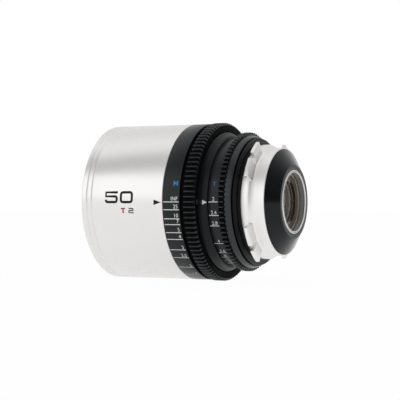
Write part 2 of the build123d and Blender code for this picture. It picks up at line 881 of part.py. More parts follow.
# Bayonet mount with four ears on a hub and a locating tube
ear_reach = mount_ear_r + cut_over
side_rise = ear_reach * tan(radians(side_gap_angle))
top_rise = ear_reach * tan(radians(top_gap_angle))
with BuildPart() as lens_mount:
    with BuildSketch(Plane.XY):
        with BuildLine():
            Polyline(
                (ear_front, hub_neck_r - edge_break),
                (ear_front, mount_ear_r - ear_bevel),
                (ear_front + ear_bevel, mount_ear_r),
                (-ear_bevel, mount_ear_r),
                (0, mount_ear_r - ear_bevel),
                (0, hub_neck_r - edge_break),
                close=True,
            )
        make_face()
    revolve(axis=Axis.X)
    # Gaps between the ears and the notch in each
    with BuildSketch(axial_plane(ear_front, 0)):
        with PolarLocations(0, 2):
            Polygon((0, 0), (ear_reach, -side_rise), (ear_reach, side_rise), align=None)
        with PolarLocations(0, 2, start_angle=full_turn_angle / 4):
            Polygon((0, 0), (ear_reach, -top_rise), (ear_reach, top_rise), align=None)
        for notch_turn in (ear_notch_angle, -ear_notch_angle):
            with PolarLocations((ear_notch_r + ear_reach) / 2, 2, start_angle=notch_turn):
                Rectangle(ear_reach - ear_notch_r, 2 * ear_notch_half)
        Circle(hub_neck_r, mode=Mode.SUBTRACT)
    extrude(amount=-ear_front, mode=Mode.SUBTRACT)
    with BuildSketch(Plane.XY):
        with BuildLine():
            Polyline(
                (shim_rear, mount_bore_r),
                (shim_rear, hub_neck_r),
                (0, hub_neck_r),
                (0, hub_r),
                (hub_rear, hub_r),
                (hub_rear, tube_r),
                (tube_bevel_a, tube_r),
                (tube_end, tube_end_r),
                (tube_end, mount_bore_r),
                close=True,
            )
        make_face()
    revolve(axis=Axis.X)
    with BuildSketch(axial_plane(shim_rear, 0)):
        with PolarLocations(screw_circle, mount_screw_count, start_angle=screw_angle):
            Circle(screw_r + slide_fit)
    extrude(amount=screw_end + run_gap - shim_rear, mode=Mode.SUBTRACT)
lens_mount.part.label = "lens_mount"
export_step(lens_mount.part, "parts/lens_mount.step")

# Four screws that pull the mount onto the rear barrel
with BuildPart() as mount_screws:
    with BuildSketch(axial_plane(screw_head_a, 0)):
        with PolarLocations(screw_circle, mount_screw_count, start_angle=screw_angle):
            Circle(screw_head_r)
    extrude(amount=screw_head_b - screw_head_a)
    with BuildSketch(axial_plane(screw_head_a, 0)):
        with PolarLocations(screw_circle, mount_screw_count, start_angle=screw_angle):
            Circle(screw_r)
    extrude(amount=screw_end - screw_head_a)
mount_screws.part.label = "mount_screws"
export_step(mount_screws.part, "parts/mount_screws.step")

# Rear cell, a flange with the long tube of the rear optics
with BuildPart() as rear_cell:
    with BuildSketch(Plane.XY):
        with BuildLine():
            Polyline(
                (flange_a, rear_bore_r),
                (flange_a, flange_r),
                (flange_b, flange_r),
                (flange_b, rear_tube_r),
                (rear_tube_step, rear_tube_r),
                (rear_tube_step, rear_nose_r),
                (rear_nose, rear_nose_r),
                (rear_nose, rear_mouth_r),
                (rear_mouth, rear_mouth_r),
                (rear_mouth, rear_lip_r),
                (rear_lip, rear_lip_r),
                (rear_lip, rear_bore_r),
                close=True,
            )
        make_face()
    revolve(axis=Axis.X)
rear_cell.part.label = "rear_cell"
export_step(rear_cell.part, "parts/rear_cell.step")

# Last glass, domed to the camera
with BuildPart() as rear_glass:
    with BuildSketch(Plane.XY):
        with BuildLine():
            Line((rear_lip + rear_sag, 0), (rear_glass_front, 0))
            Line((rear_glass_front, 0), (rear_glass_front, rear_glass_r))
            Line((rear_glass_front, rear_glass_r), (rear_lip, rear_glass_r))
            Line((rear_lip, rear_glass_r), (rear_lip, rear_ring_r))
            RadiusArc((rear_lip, rear_ring_r), (rear_lip + rear_sag, 0), rear_dome_r)
        make_face()
    revolve(axis=Axis.X)
rear_glass.part.label = "rear_glass"
export_step(rear_glass.part, "parts/rear_glass.step")

# Spacer between the rear glasses
with BuildPart() as rear_spacer:
    with BuildSketch(axial_plane(rear_space_front, 0)):
        Circle(rear_glass_r)
        Circle(rear_space_r, mode=Mode.SUBTRACT)
    extrude(amount=rear_glass_front - rear_space_front)
rear_spacer.part.label = "rear_spacer"
export_step(rear_spacer.part, "parts/rear_spacer.step")

# Inner rear glass, dished to the iris
with BuildPart() as rear_inner_glass:
    with BuildSketch(Plane.XY):
        with BuildLine():
            Line((rear_inner_front + rear_dish, 0), (rear_space_front, 0))
            Line((rear_space_front, 0), (rear_space_front, rear_glass_r))
            Line((rear_space_front, rear_glass_r), (rear_inner_front, rear_glass_r))
            Line((rear_inner_front, rear_glass_r), (rear_inner_front, rear_dish_rim))
            RadiusArc((rear_inner_front, rear_dish_rim), (rear_inner_front + rear_dish, 0), rear_dish_r)
        make_face()
    revolve(axis=Axis.X)
rear_inner_glass.part.label = "rear_inner_glass"
export_step(rear_inner_glass.part, "parts/rear_inner_glass.step")

# Ring that locks the rear glasses
with BuildPart() as rear_lock_ring:
    with BuildSketch(axial_plane(rear_ring_front, 0)):
        Circle(rear_glass_r)
        Circle(rear_ring_r, mode=Mode.SUBTRACT)
    extrude(amount=rear_inner_front - rear_ring_front)
rear_lock_ring.part.label = "rear_lock_ring"
export_step(rear_lock_ring.part, "parts/rear_lock_ring.step")

# Rear cone, the black light shield on the end of the mount
with BuildPart() as rear_cone:
    with BuildSketch(Plane.XY):
        with BuildLine():
            Polyline(
                (spigot_front, rear_tube_r + slide_fit),
                (spigot_front, spigot_r),
                (tube_end, spigot_r),
                (tube_end, cone_base_r),
                (cone_top, cone_top_r),
                (cone_end, cone_end_r),
                (cone_end, cone_bore_r),
                (cone_step, cone_bore_r),
                (cone_step, rear_tube_r + slide_fit),
                close=True,
            )
        make_face()
    revolve(axis=Axis.X)
rear_cone.part.label = "rear_cone"
export_step(rear_cone.part, "parts/rear_cone.step")

# Bright retaining ring at the rear mouth
with BuildPart() as rear_retaining_ring:
    with BuildSketch(Plane.XY):
        with BuildLine():
            Polyline(
                (silver_a, rear_nose_r),
                (silver_a, silver_r),
                (silver_b - silver_bevel, silver_r),
                (silver_b, silver_r + silver_bevel),
                (silver_b, rear_nose_r - silver_bevel),
                (silver_b - silver_bevel, rear_nose_r),
                close=True,
            )
        make_face()
    revolve(axis=Axis.X)
rear_retaining_ring.part.label = "rear_retaining_ring"
export_step(rear_retaining_ring.part, "parts/rear_retaining_ring.step")
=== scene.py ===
# %% [markdown]
# # A cinema prime lens
# The lens lies level, with its mount towards the right. This notebook dresses the finished
# CAD part: each turned piece that shows is drawn again as an outline and spun on the optical axis,
# because spun rings have a smooth surface that glossy metal and paint need. The scene is in metres, in
# the frame of the CAD part. Outlines are written in millimetres and drawn in metres. X is the optical
# axis, from the front to the mount, the index line faces -Y, and Z is up.

# %% Load the CAD part
import json
from math import cos, pi, radians, sin, sqrt

import bpy
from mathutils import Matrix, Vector

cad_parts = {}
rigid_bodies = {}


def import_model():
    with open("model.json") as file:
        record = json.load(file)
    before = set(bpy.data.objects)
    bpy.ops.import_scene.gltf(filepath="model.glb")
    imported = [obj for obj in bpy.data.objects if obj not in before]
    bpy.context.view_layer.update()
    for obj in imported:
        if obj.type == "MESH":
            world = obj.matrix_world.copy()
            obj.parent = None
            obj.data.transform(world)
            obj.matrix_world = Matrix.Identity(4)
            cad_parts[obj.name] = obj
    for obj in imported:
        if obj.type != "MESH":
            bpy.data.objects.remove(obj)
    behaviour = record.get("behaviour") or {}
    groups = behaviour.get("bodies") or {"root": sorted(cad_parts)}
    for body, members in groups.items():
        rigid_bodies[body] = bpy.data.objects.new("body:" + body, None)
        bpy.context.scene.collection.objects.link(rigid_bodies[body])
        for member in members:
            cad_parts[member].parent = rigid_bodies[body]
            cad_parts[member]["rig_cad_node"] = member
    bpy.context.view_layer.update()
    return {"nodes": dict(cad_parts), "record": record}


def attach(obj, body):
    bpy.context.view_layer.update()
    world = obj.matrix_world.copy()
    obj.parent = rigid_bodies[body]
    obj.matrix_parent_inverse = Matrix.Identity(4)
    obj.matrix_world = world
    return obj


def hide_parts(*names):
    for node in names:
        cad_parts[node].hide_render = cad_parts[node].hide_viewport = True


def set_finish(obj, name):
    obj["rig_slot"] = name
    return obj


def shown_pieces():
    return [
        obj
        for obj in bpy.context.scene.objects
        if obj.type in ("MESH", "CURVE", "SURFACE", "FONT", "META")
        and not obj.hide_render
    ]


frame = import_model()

MM = 0.001
scene = bpy.context.scene
nodes = frame["nodes"]
print("CAD nodes:", len(nodes))

# %% [markdown]
# ## Camera
# The photograph was taken level with the lens and a little from behind. The long focal length keeps
# the rings almost the same size from front to rear. The camera comes first, so that each later step
# can be looked at from where it counts.

# %% Camera that matches the photograph
camera_place = (0.2373, -0.5629, 0.00093)
camera_yaw = radians(26.10)
bpy.ops.object.camera_add(location=camera_place, rotation=(radians(90), 0, camera_yaw))
camera = bpy.context.object
camera.name = "photo_camera"
camera.data.sensor_width = 36
camera.data.lens = 108.9
camera.data.clip_start = 0.01
scene.camera = camera
print("camera distance:", round(camera.location.length, 3))

# %% [markdown]
# ## Drawing and turning
# A lathe turns a profile into a ring. Here a plane is merged into one point, the point is extruded
# along the outline, and the outline is spun on the X axis. A small bevel on every sharp corner
# catches the light, as the broken edge of a machined ring does.

# %% Helpers for turned pieces
SMOOTH_BELOW = radians(30)  # flatter corners are shaded smooth, and sharper ones may get a bevel
MERGE = 0.000001  # points nearer than this are one point
FULL = 2 * pi


def begin(name):
    """Starts a new piece in edit mode, as one vertex at the origin."""
    bpy.ops.object.select_all(action="DESELECT")
    bpy.ops.mesh.primitive_plane_add(size=MM)
    piece = bpy.context.object
    piece.name = name
    bpy.ops.object.mode_set(mode="EDIT")
    bpy.ops.mesh.select_mode(type="VERT")
    bpy.ops.mesh.select_all(action="SELECT")
    bpy.ops.mesh.merge(type="CENTER")
    return piece


def draw(points):
    """Extrudes the selected vertex from point to point and back to the first. Points are in metres."""
    places = [Vector(p) for p in points]
    places.append(places[0])
    bpy.ops.transform.translate(value=places[0])
    for here, there in zip(places, places[1:]):
        bpy.ops.mesh.extrude_vertices_move(TRANSFORM_OT_translate={"value": there - here})
    bpy.ops.mesh.select_all(action="SELECT")
    bpy.ops.mesh.remove_doubles(threshold=MERGE)


def finish_piece(piece, bevel=0.0, segments=2):
    """Closes seams, turns faces outwards, breaks the sharp corners and smooths the shading."""
    bpy.ops.mesh.select_all(action="SELECT")
    bpy.ops.mesh.remove_doubles(threshold=MERGE)
    bpy.ops.mesh.delete_loose(use_verts=True, use_edges=True, use_faces=False)
    bpy.ops.mesh.select_all(action="SELECT")
    bpy.ops.mesh.normals_make_consistent(inside=False)
    bpy.ops.object.mode_set(mode="OBJECT")
    if bevel:
        bpy.ops.object.modifier_add(type="BEVEL")
        edge = piece.modifiers[-1]
        edge.width = bevel * MM
        edge.segments = segments
        edge.limit_method = "ANGLE"
        edge.angle_limit = SMOOTH_BELOW
        bpy.ops.object.modifier_apply(modifier=edge.name)
    bpy.ops.object.shade_smooth_by_angle(angle=SMOOTH_BELOW)
    return piece


def turned(name, outline, bevel=0.1, steps=240, segments=2):
    """Spins an outline of (x, radius) points, in millimetres, on the optical axis."""
    piece = begin(name)
    draw([(x * MM, 0, r * MM) for x, r in outline])
    bpy.ops.mesh.spin(steps=steps, angle=FULL, center=(0, 0, 0), axis=(1, 0, 0))
    return finish_piece(piece, bevel, segments)


def arc(x_a, r_a, x_b, r_b, bulge, count):
    """Points of a shallow arc from one corner to another, bulge millimetres off its chord."""
    length = sqrt((x_b - x_a) ** 2 + (r_b - r_a) ** 2)
    side = ((r_b - r_a) / length, -(x_b - x_a) / length)
    found = []
    for step in range(count + 1):
        t = step / count
        lift = bulge * 4 * t * (1 - t)
        found.append((x_a + t * (x_b - x_a) - side[0] * lift, r_a + t * (r_b - r_a) - side[1] * lift))
    return found


def rides(piece, body, slot, *stands_for):
    """Puts a piece on its CAD body, in its finish slot, in place of its CAD nodes."""
    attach(piece, body)
    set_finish(piece, slot)
    if stands_for:
        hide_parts(*stands_for)
    print(piece.name, len(piece.data.polygons), "faces")


def joined(first, *others):
    """Joins pieces into the first one."""
    bpy.ops.object.select_all(action="DESELECT")
    for piece in (first, *others):
        piece.select_set(True)
    bpy.context.view_layer.objects.active = first
    bpy.ops.object.join()
    return first


# %% [markdown]
# ## Front housing
# The front of the lens is one plain sleeve with a painted outside, two fine V grooves near the front
# edge and a thread for filters inside. A cylinder primitive would have one hard edge at each end, so
# the sleeve is turned from its outline instead, with its grooves in it.

# %% Front housing
housing_r = 40.0
housing_outline = [
    (-86.1, 38.5), (-86.1, 39.2), (-85.3, 40.0),
    (-83.0, 40.0), (-82.55, 39.5), (-82.1, 40.0),
    (-80.25, 40.0), (-79.8, 39.5), (-79.35, 40.0),
    (-60.0, 40.0), (-39.8, 40.0), (-39.5, 39.7),
    (-39.5, 37.5), (-81.6, 37.5), (-81.6, 38.09), (-85.7, 38.09),
]
housing = turned("painted_housing", housing_outline, bevel=0.09, steps=288)
rides(housing, "body", "housing_white", "front_housing")

# %% [markdown]
# The filter thread is a fine V that climbs the bore. A Screw modifier sweeps a small triangle round
# the axis while it moves along by one pitch each turn, which is just what a thread is. The triangle is
# a little narrower than the pitch, so that one turn never touches the next.

# %% Filter thread
thread_pitch = 0.75
thread_turns = 5
thread_steps = 120
thread_x = -85.6
thread_out = 38.12
thread_deep = 0.3
thread_gap = 0.03
thread_v = [
    (thread_x + thread_gap, thread_out),
    (thread_x + thread_pitch / 2, thread_out - thread_deep),
    (thread_x + thread_pitch - thread_gap, thread_out),
]
thread = begin("filter_thread")
draw([(x * MM, 0, r * MM) for x, r in thread_v])
bpy.ops.object.mode_set(mode="OBJECT")
bpy.ops.object.modifier_add(type="SCREW")
climb = thread.modifiers[-1]
climb.axis = "X"
climb.steps = thread_steps
climb.render_steps = thread_steps
climb.screw_offset = thread_pitch * MM
climb.iterations = thread_turns
bpy.ops.object.modifier_apply(modifier=climb.name)
bpy.ops.object.mode_set(mode="EDIT")
bpy.ops.mesh.select_all(action="SELECT")
bpy.ops.mesh.fill_holes(sides=3)  # the two ends
finish_piece(thread)
rides(thread, "body", "inner_black")

# %% [markdown]
# ## Rings in front of the first glass
# Behind the thread a bevelled black ring frames the first glass. The glass itself is domed, so its
# outline is an arc that starts on the axis. Two faces in the very same place flicker between each
# other in a render, so each glass ends a hair short of the ring that it rests on.

# %% Trim ring and front glass
trim_outline = [(-81.6, 37.45), (-81.6, 34.3), (-80.2, 33.2), (-79.8, 33.2), (-79.8, 37.45)]
trim = turned("front_trim", trim_outline, bevel=0.12)
rides(trim, "body", "inner_black", "front_trim_ring")


GLASS_GAP = 0.03
DOME_STEPS = 24


def sag(radius, rim):
    """Depth of a ball's cap that reaches out to rim."""
    return radius - sqrt(radius ** 2 - rim ** 2)


def dome(x_rim, rim, radius, way):
    """Points of a glass surface from the axis out to its rim. way is -1 for a dome to the front."""
    found = []
    for step in range(DOME_STEPS + 1):
        r = rim * step / DOME_STEPS
        found.append((x_rim + way * (sag(radius, rim) - sag(radius, r)), r))
    return found


front_r = 33.5
front_rest = -72.8 - GLASS_GAP
front_face = dome(-76.3, front_r, 170.0, -1)
front_back = dome(front_rest, 27.0, 80.0, -1)
front_outline = front_face + [(front_rest, front_r)] + front_back[::-1]
front_glass = turned("front_element", front_outline, bevel=0, steps=160)
rides(front_glass, "body", "coated_glass", "front_glass")

# %% [markdown]
# Four more glasses stand behind the first. They show through it, so they are turned as smoothly. Each
# has one curved face towards the front and one flat face towards the mount. Two of them ride on the
# carrier that slides when the lens is focused.

# %% Inner glasses
inner_glasses = []
carrier = "focus_carrier_body"
for name, node, body, x_rim, clear, curve, way, x_back, rim in (
    ("second_element", "second_glass", "body", -69.3, 27.0, 90.0, -1, -64.9, 33.5),
    ("carrier_front_element", "carrier_front_glass", carrier, -52.8, 18.5, 75.0, -1, -46.8, 27.0),
    ("carrier_rear_element", "carrier_rear_glass", carrier, -37.5, 18.5, 52.0, 1, -31.0, 22.0),
    ("rear_inner_element", "rear_inner_glass", "body", -5.4, 11.0, 45.0, 1, -1.4, 14.0),
):
    edge, rest = x_rim + GLASS_GAP, x_back - GLASS_GAP
    outline = dome(edge, clear, curve, way) + [(edge, rim), (rest, rim), (rest, 0)]
    element = turned(name, outline, bevel=0, steps=144)
    rides(element, body, "coated_glass", node)
    inner_glasses.append(element)

# %% [markdown]
# ## Focus ring
# The focus ring is one black sleeve with a plain band for the scale and a shallow groove. A toothed
# band for a focus motor stands behind the groove, which separates the two, so it gets crisp edges.

# %% Focus ring
focus_outline = [
    (-39.2, 37.0), (-39.2, 40.0), (-30.1, 40.0), (-30.1, 38.2),
    (-27.8, 38.2), (-27.8, 37.0),
]
focus_sleeve = turned("focus_sleeve", focus_outline, bevel=0.22, steps=288, segments=3)
rides(focus_sleeve, "focus_ring_body", "ring_black", "focus_ring")

# %% [markdown]
# ## Gears
# One tooth is drawn with the slice of ring under it, extruded along the axis, and one corner cut off
# by a bisect plane. The slice is then copied round the axis by a spin that duplicates, and the copies
# are merged. Drawing one tooth well is less work than drawing ninety-nine.

# %% Gear helper
MODULE = 0.8
ROOT_DEPTH = 1.25  # in modules


def gear(name, teeth, front, rear, bore, cut):
    """A ring of teeth. cut is the line between two (x, radius) points, where a plane takes a corner off.
    The slice is drawn as (radius, share of one tooth's step) points."""
    pitch_r = teeth * MODULE / 2
    tip, root = pitch_r + MODULE, pitch_r - ROOT_DEPTH * MODULE
    step = FULL / teeth
    shape = [
        (bore, -0.5), (root, -0.5), (root, -0.40), (root + 0.12, -0.335), (pitch_r, -0.235),
        (tip - 0.12, -0.135), (tip, -0.10), (tip, 0.10), (tip - 0.12, 0.135),
        (pitch_r, 0.235), (root + 0.12, 0.335), (root, 0.40), (root, 0.5), (bore, 0.5),
    ]
    piece = begin(name)
    draw([(front * MM, -r * MM * cos(a * step), r * MM * sin(a * step)) for r, a in shape])
    bpy.ops.mesh.edge_face_add()
    bpy.ops.mesh.extrude_region_move(TRANSFORM_OT_translate={"value": ((rear - front) * MM, 0, 0)})
    (x_a, r_a), (x_b, r_b) = cut
    bpy.ops.mesh.select_all(action="SELECT")
    bpy.ops.mesh.bisect(plane_co=(x_a * MM, -r_a * MM, 0), plane_no=(r_a - r_b, x_a - x_b, 0),
                        use_fill=True, clear_outer=True, clear_inner=False)
    # the two borders between this slice and its neighbours would be inside the ring, so they go
    bpy.ops.mesh.select_mode(type="FACE")
    bpy.ops.mesh.select_all(action="DESELECT")
    bpy.ops.object.mode_set(mode="OBJECT")
    for side in (-0.5, 0.5):
        a = side * step
        across = Vector((0, sin(a), cos(a)))
        for face in piece.data.polygons:
            if abs(face.center.dot(across)) < MERGE and abs(face.normal.dot(across)) > 0.999:
                face.select = True
    bpy.ops.object.mode_set(mode="EDIT")
    bpy.ops.mesh.delete(type="FACE")
    bpy.ops.mesh.select_mode(type="VERT")
    bpy.ops.mesh.select_all(action="SELECT")
    bpy.ops.mesh.spin(steps=teeth - 1, dupli=True, angle=FULL * (teeth - 1) / teeth,
                      center=(0, 0, 0), axis=(1, 0, 0))
    return finish_piece(piece, bevel=0.05, segments=1)


# %% Focus gear
focus_cut = (-23.2, 40.4), (-22.05, 39.2)
focus_gear = gear("focus_gear_teeth", 99, front=-27.8, rear=-22.05, bore=36.05, cut=focus_cut)
rides(focus_gear, "focus_ring_body", "ring_black", "focus_gear")

# %% [markdown]
# ## Index ring
# Between the two turning rings stands a fixed ring with a hollow curve and a small tab that reaches
# over the focus ring's end. The curve is an arc of short edges, which smooth shading rounds off.

# %% Index ring
hollow = arc(-21.9, 35.5, -18.5, 32.95, -0.72, 14)
index_outline = [(-23.2, 31.55), (-23.2, 35.5)] + hollow + [(-18.5, 31.55)]
index_ring = turned("index_cone", index_outline, bevel=0.06, steps=240)
tab_x, tab_r = -21.3, 35.8
tab_size = (0.8, 5.6, 2.4)
bpy.ops.mesh.primitive_cube_add(size=MM, location=(tab_x * MM, -tab_r * MM, 0), scale=tab_size)
tab = bpy.context.object
bpy.ops.object.transform_apply(location=True, rotation=True, scale=True)
bpy.ops.object.mode_set(mode="EDIT")
finish_piece(tab, bevel=0.18)
index_ring = joined(index_ring, tab)
rides(index_ring, "body", "ring_black", "index_ring")

# %% [markdown]
# ## Iris ring
# The iris ring carries the stop scale on a plain band, then its own, smaller gear, then a plain land.

# %% Iris ring and its gear
iris_outline = [
    (-18.2, 31.5), (-18.2, 32.75), (-12.4, 32.75), (-12.4, 32.0), (-6.2, 32.0), (-6.2, 31.5),
]
iris_sleeve = turned("iris_sleeve", iris_outline, bevel=0.15)
rides(iris_sleeve, "iris_ring_body", "ring_black", "iris_ring")
iris_cut = (-12.3, 33.9), (-11.9, 35.2)
iris_gear = gear("iris_gear_teeth", 86, front=-12.3, rear=-9.1, bore=32.25, cut=iris_cut)
land_outline = [
    (-9.1, 32.25), (-9.1, 33.7), (-8.2, 33.65), (-7.4, 33.45), (-6.6, 33.1), (-6.0, 32.7), (-6.0, 32.25),
]
land = turned("iris_land", land_outline, bevel=0.06)
iris_gear = joined(iris_gear, land)
rides(iris_gear, "iris_ring_body", "ring_black", "iris_gear")

# %% [markdown]
# ## Rear barrel
# A short black barrel closes the lens behind the iris ring, and a thinner neck goes on to the mount.

# %% Rear barrel
barrel_outline = [
    (-5.6, 31.05), (-5.6, 32.0), (-4.1, 32.0), (-4.1, 29.2),
    (-2.6, 29.2), (-2.6, 25.6), (-4.7, 25.6), (-4.7, 31.05),
]
barrel = turned("rear_barrel_turned", barrel_outline, bevel=0.2)
rides(barrel, "body", "ring_black", "rear_barrel")

# %% [markdown]
# ## Bayonet mount
# The mount is plated steel: a hub, a long locating tube, and four thin ears that a lock ring pulls on.
# Each ear has one notch. An ear is a small face spun over the part of the circle that it covers, so a
# notch is simply a stretch that is spun with a lower face.

# %% Mount hub and tube
hub_outline = [
    (-2.55, 24.5), (-2.55, 28.8), (0.9, 28.8), *arc(1.1, 28.8, 3.7, 27.0, -0.18, 8)[1:],
    (8.6, 27.0), (8.8, 26.8), (8.8, 24.5),
]
mount = turned("bayonet_mount", hub_outline, bevel=0.14, steps=288, segments=3)


def ear_part(outline, start, end, bevel, steps):
    """Spins a closed (x, radius) face from one angle to another. Angles go up from -Y, in degrees."""
    piece = begin("ear")
    a = radians(start)
    draw([(x * MM, -r * MM * cos(a), r * MM * sin(a)) for x, r in outline])
    bpy.ops.mesh.edge_face_add()
    bpy.ops.mesh.spin(steps=steps, angle=radians(end - start), center=(0, 0, 0), axis=(1, 0, 0))
    return finish_piece(piece, bevel, segments=2)


# %% Mount ears
notch_half = 2.9  # degrees from a notch's middle to its side
notch_overlap = 0.5  # degrees that its floor reaches into the ear on each side
ear_face = [(0.5, 27.5), (0.5, 34.0), (2.3, 34.0), (2.5, 27.5)]
notch_face = [(0.55, 27.5), (0.55, 29.0), (2.3, 29.0), (2.4, 27.5)]
floor_half = notch_half + notch_overlap
ears = []
for first, middle, last in (
    (21.4, 42.0, 60.2), (119.8, 138.0, 158.6), (201.4, 222.0, 240.2), (299.8, 318.0, 338.6),
):
    ears.append(ear_part(ear_face, first, middle - notch_half, bevel=0.16, steps=30))
    ears.append(ear_part(ear_face, middle + notch_half, last, bevel=0.16, steps=30))
    ears.append(ear_part(notch_face, middle - floor_half, middle + floor_half, bevel=0, steps=6))
mount = joined(mount, *ears)
rides(mount, "body", "mount_silver", "lens_mount")

# %% [markdown]
# ## Rear cone, rear cell and rear glass
# The black cone shields the last glass from stray light. Inside its mouth sits a bright threaded ring,
# and further in the cell with its stepped mouth and the domed last glass.

# %% Rear cone, cell and retaining ring
cone_outline = [
    (2.0, 17.05), (2.0, 24.45), (8.85, 24.45), (8.85, 26.6), (13.6, 18.9), (14.0, 18.4), (14.0, 16.3),
    (13.75, 16.05), (6.9, 16.05), (6.9, 17.05),
]
cone = turned("rear_shield", cone_outline, bevel=0.16, segments=3)
rides(cone, "body", "inner_black", "rear_cone")
cell_outline = [
    (-12.2, 14.05), (-12.2, 29.35), (-10.2, 29.35), (-10.2, 17.0), (6.7, 17.0), (6.7, 16.0),
    (11.2, 16.0), (11.2, 14.7), (10.6, 14.7), (10.6, 13.9), (9.9, 13.9), (9.9, 12.1),
    (9.62, 12.1), (9.62, 14.05),
]
cell = turned("rear_cell_turned", cell_outline, bevel=0.1)
rides(cell, "body", "inner_black", "rear_cell")
ring_outline = [
    (11.4, 16.0), (11.4, 14.7), (12.0, 14.7), (12.2, 14.95), (12.4, 14.7), (12.8, 14.7), (13.0, 14.95),
    (13.2, 14.7), (13.9, 14.7), (14.2, 14.85), (14.2, 15.15), (14.0, 15.27), (14.0, 15.37), (14.2, 15.5),
    (14.2, 15.75), (14.05, 15.9), (13.6, 16.0),
]
bright_ring = turned("bright_retaining_ring", ring_outline, bevel=0.03)
rides(bright_ring, "body", "mount_silver", "rear_retaining_ring")
rear_face = dome(9.6, 11.5, 60.0, 1)
rear_outline = rear_face + [(9.6, 12.5), (8.4, 14.0), (4.6, 14.0), (4.6, 0)]
rear_glass = turned("rear_element", rear_outline, bevel=0, steps=160)
rides(rear_glass, "body", "coated_glass", "rear_glass")

# %% [markdown]
# Behind the last glass a spacer with a stepped bore holds the glass in front of it. Steps trap stray
# light. Each keeps one thin bright edge, and its face that looks out of the bore has a painted
# highlight, and these show through the glass as a row of arcs.

# %% Stepped spacer
steps_outline = [
    (-1.4, 13.95), (4.55, 13.95), (4.55, 13.2), (3.3, 13.2), (3.3, 12.4),
    (1.9, 12.4), (1.9, 11.2), (0.4, 11.2), (0.4, 9.6), (-1.4, 9.6),
]
stepped_spacer = turned("stepped_spacer", steps_outline, bevel=0.12)
rides(stepped_spacer, "body", "inner_black", "rear_spacer")

# %% [markdown]
# ## Scales
# On a real ring the scales are engraved and filled with paint, and here each mark is a thin film. They
# are laid out flat, one line and one number at a time, as on a sheet round the ring: X runs along the
# lens, and the sheet's height is the way round. The sheet is sliced into narrow strips, so that it can
# bend, and then each point is moved round the ring. Solidify gives the paint its thickness.

# %% Helpers for marks
MARK_LIFT = 0.02  # how far a mark stands out of its ring
MARK_FILM = 0.05  # thickness of the paint
STRIP = 0.6  # width of the strips that a sheet is sliced into


def flat_text(text, size, x, height, stretch=1.0, align="CENTER", bold=0.0):
    """A word on the flat sheet, in millimetres, made into a mesh."""
    bpy.ops.object.select_all(action="DESELECT")
    bpy.ops.object.text_add(location=(0, 0, 0))
    word = bpy.context.object
    word.data.body = text
    word.data.align_x = align
    word.data.align_y = "CENTER"
    word.data.size = size * MM
    word.data.offset = bold * MM
    word.data.resolution_u = 5
    bpy.ops.object.convert(target="MESH")
    word.scale = (stretch, 1, 1)
    word.location = (x * MM, height * MM, 0)
    bpy.ops.object.transform_apply(location=True, rotation=True, scale=True)
    return word


def flat_bar(x_a, x_b, height, width):
    """A straight line on the flat sheet."""
    bpy.ops.object.select_all(action="DESELECT")
    middle = ((x_a + x_b) / 2 * MM, height * MM, 0)
    bpy.ops.mesh.primitive_plane_add(size=MM, location=middle)
    bar = bpy.context.object
    bar.scale = (x_b - x_a, width, 1)
    bpy.ops.object.transform_apply(location=True, rotation=True, scale=True)
    return bar


def flat_triangle(x_base, x_tip, height, width):
    """A pointer on the flat sheet, a square whose far side is merged into one point."""
    bar = flat_bar(min(x_base, x_tip), max(x_base, x_tip), height, width)
    bpy.ops.object.mode_set(mode="EDIT")
    bpy.ops.mesh.select_all(action="DESELECT")
    bpy.ops.object.mode_set(mode="OBJECT")
    for v in bar.data.vertices:
        v.select = abs(v.co.x - x_tip * MM) < MERGE
    bpy.ops.object.mode_set(mode="EDIT")
    bpy.ops.mesh.merge(type="CENTER")
    bpy.ops.object.mode_set(mode="OBJECT")
    return bar


def painted(mark, offset):
    """Gives a thin mark the thickness of its paint."""
    bpy.ops.object.modifier_add(type="SOLIDIFY")
    film = mark.modifiers[-1]
    film.thickness = MARK_FILM * MM
    film.offset = offset
    bpy.ops.object.modifier_apply(modifier=film.name)


def laid_round(name, marks, radius):
    """Joins flat marks, slices them into strips and lays them round a ring of that radius. Marks that
    already have a thickness keep it."""
    sheet = joined(*marks)
    sheet.name = name
    heights = [v.co.y for v in sheet.data.vertices]
    bpy.ops.object.mode_set(mode="EDIT")
    level = min(heights) + STRIP * MM
    while level < max(heights):
        bpy.ops.mesh.select_all(action="SELECT")
        bpy.ops.mesh.bisect(plane_co=(0, level, 0), plane_no=(0, 1, 0))
        level += STRIP * MM
    bpy.ops.object.mode_set(mode="OBJECT")
    flat = max(abs(v.co.z) for v in sheet.data.vertices) < MERGE
    for v in sheet.data.vertices:
        turn = v.co.y / (radius * MM)
        reach = (radius + MARK_LIFT) * MM + (v.co.z if not flat else 0)
        v.co = (v.co.x, -reach * cos(turn), reach * sin(turn))
    if flat:
        painted(sheet, offset=-1)
    return sheet


# %% Focus scale
def round_way(degrees, radius):
    """Height on the flat sheet of a mark that stands this many degrees below the index."""
    return -radians(degrees) * radius


focus_marks = [
    (0, "INF"), (5.5, "25"), (11.9, "10"), (16.1, "7"), (22.1, "5"), (27.4, "4"), (36.2, "3"),
    (43.7, "2.5"), (54.6, "2"), (66.0, "1.8"), (79.0, "1.5"), (94.0, "1.2"), (111.0, "1"),
    (130.0, "0.8"),
]
focus_line, focus_number = 0.38, 2.75
sheet = []
for degrees, label in focus_marks:
    height = round_way(degrees, housing_r)
    sheet.append(flat_bar(-38.9, -30.4, height, focus_line))
    sheet.append(flat_text(label, focus_number, -31.0, height + 1.5, stretch=0.95, align="RIGHT"))
focus_scale = laid_round("focus_scale_marks", sheet, housing_r)
rides(focus_scale, "focus_ring_body", "ring_black")

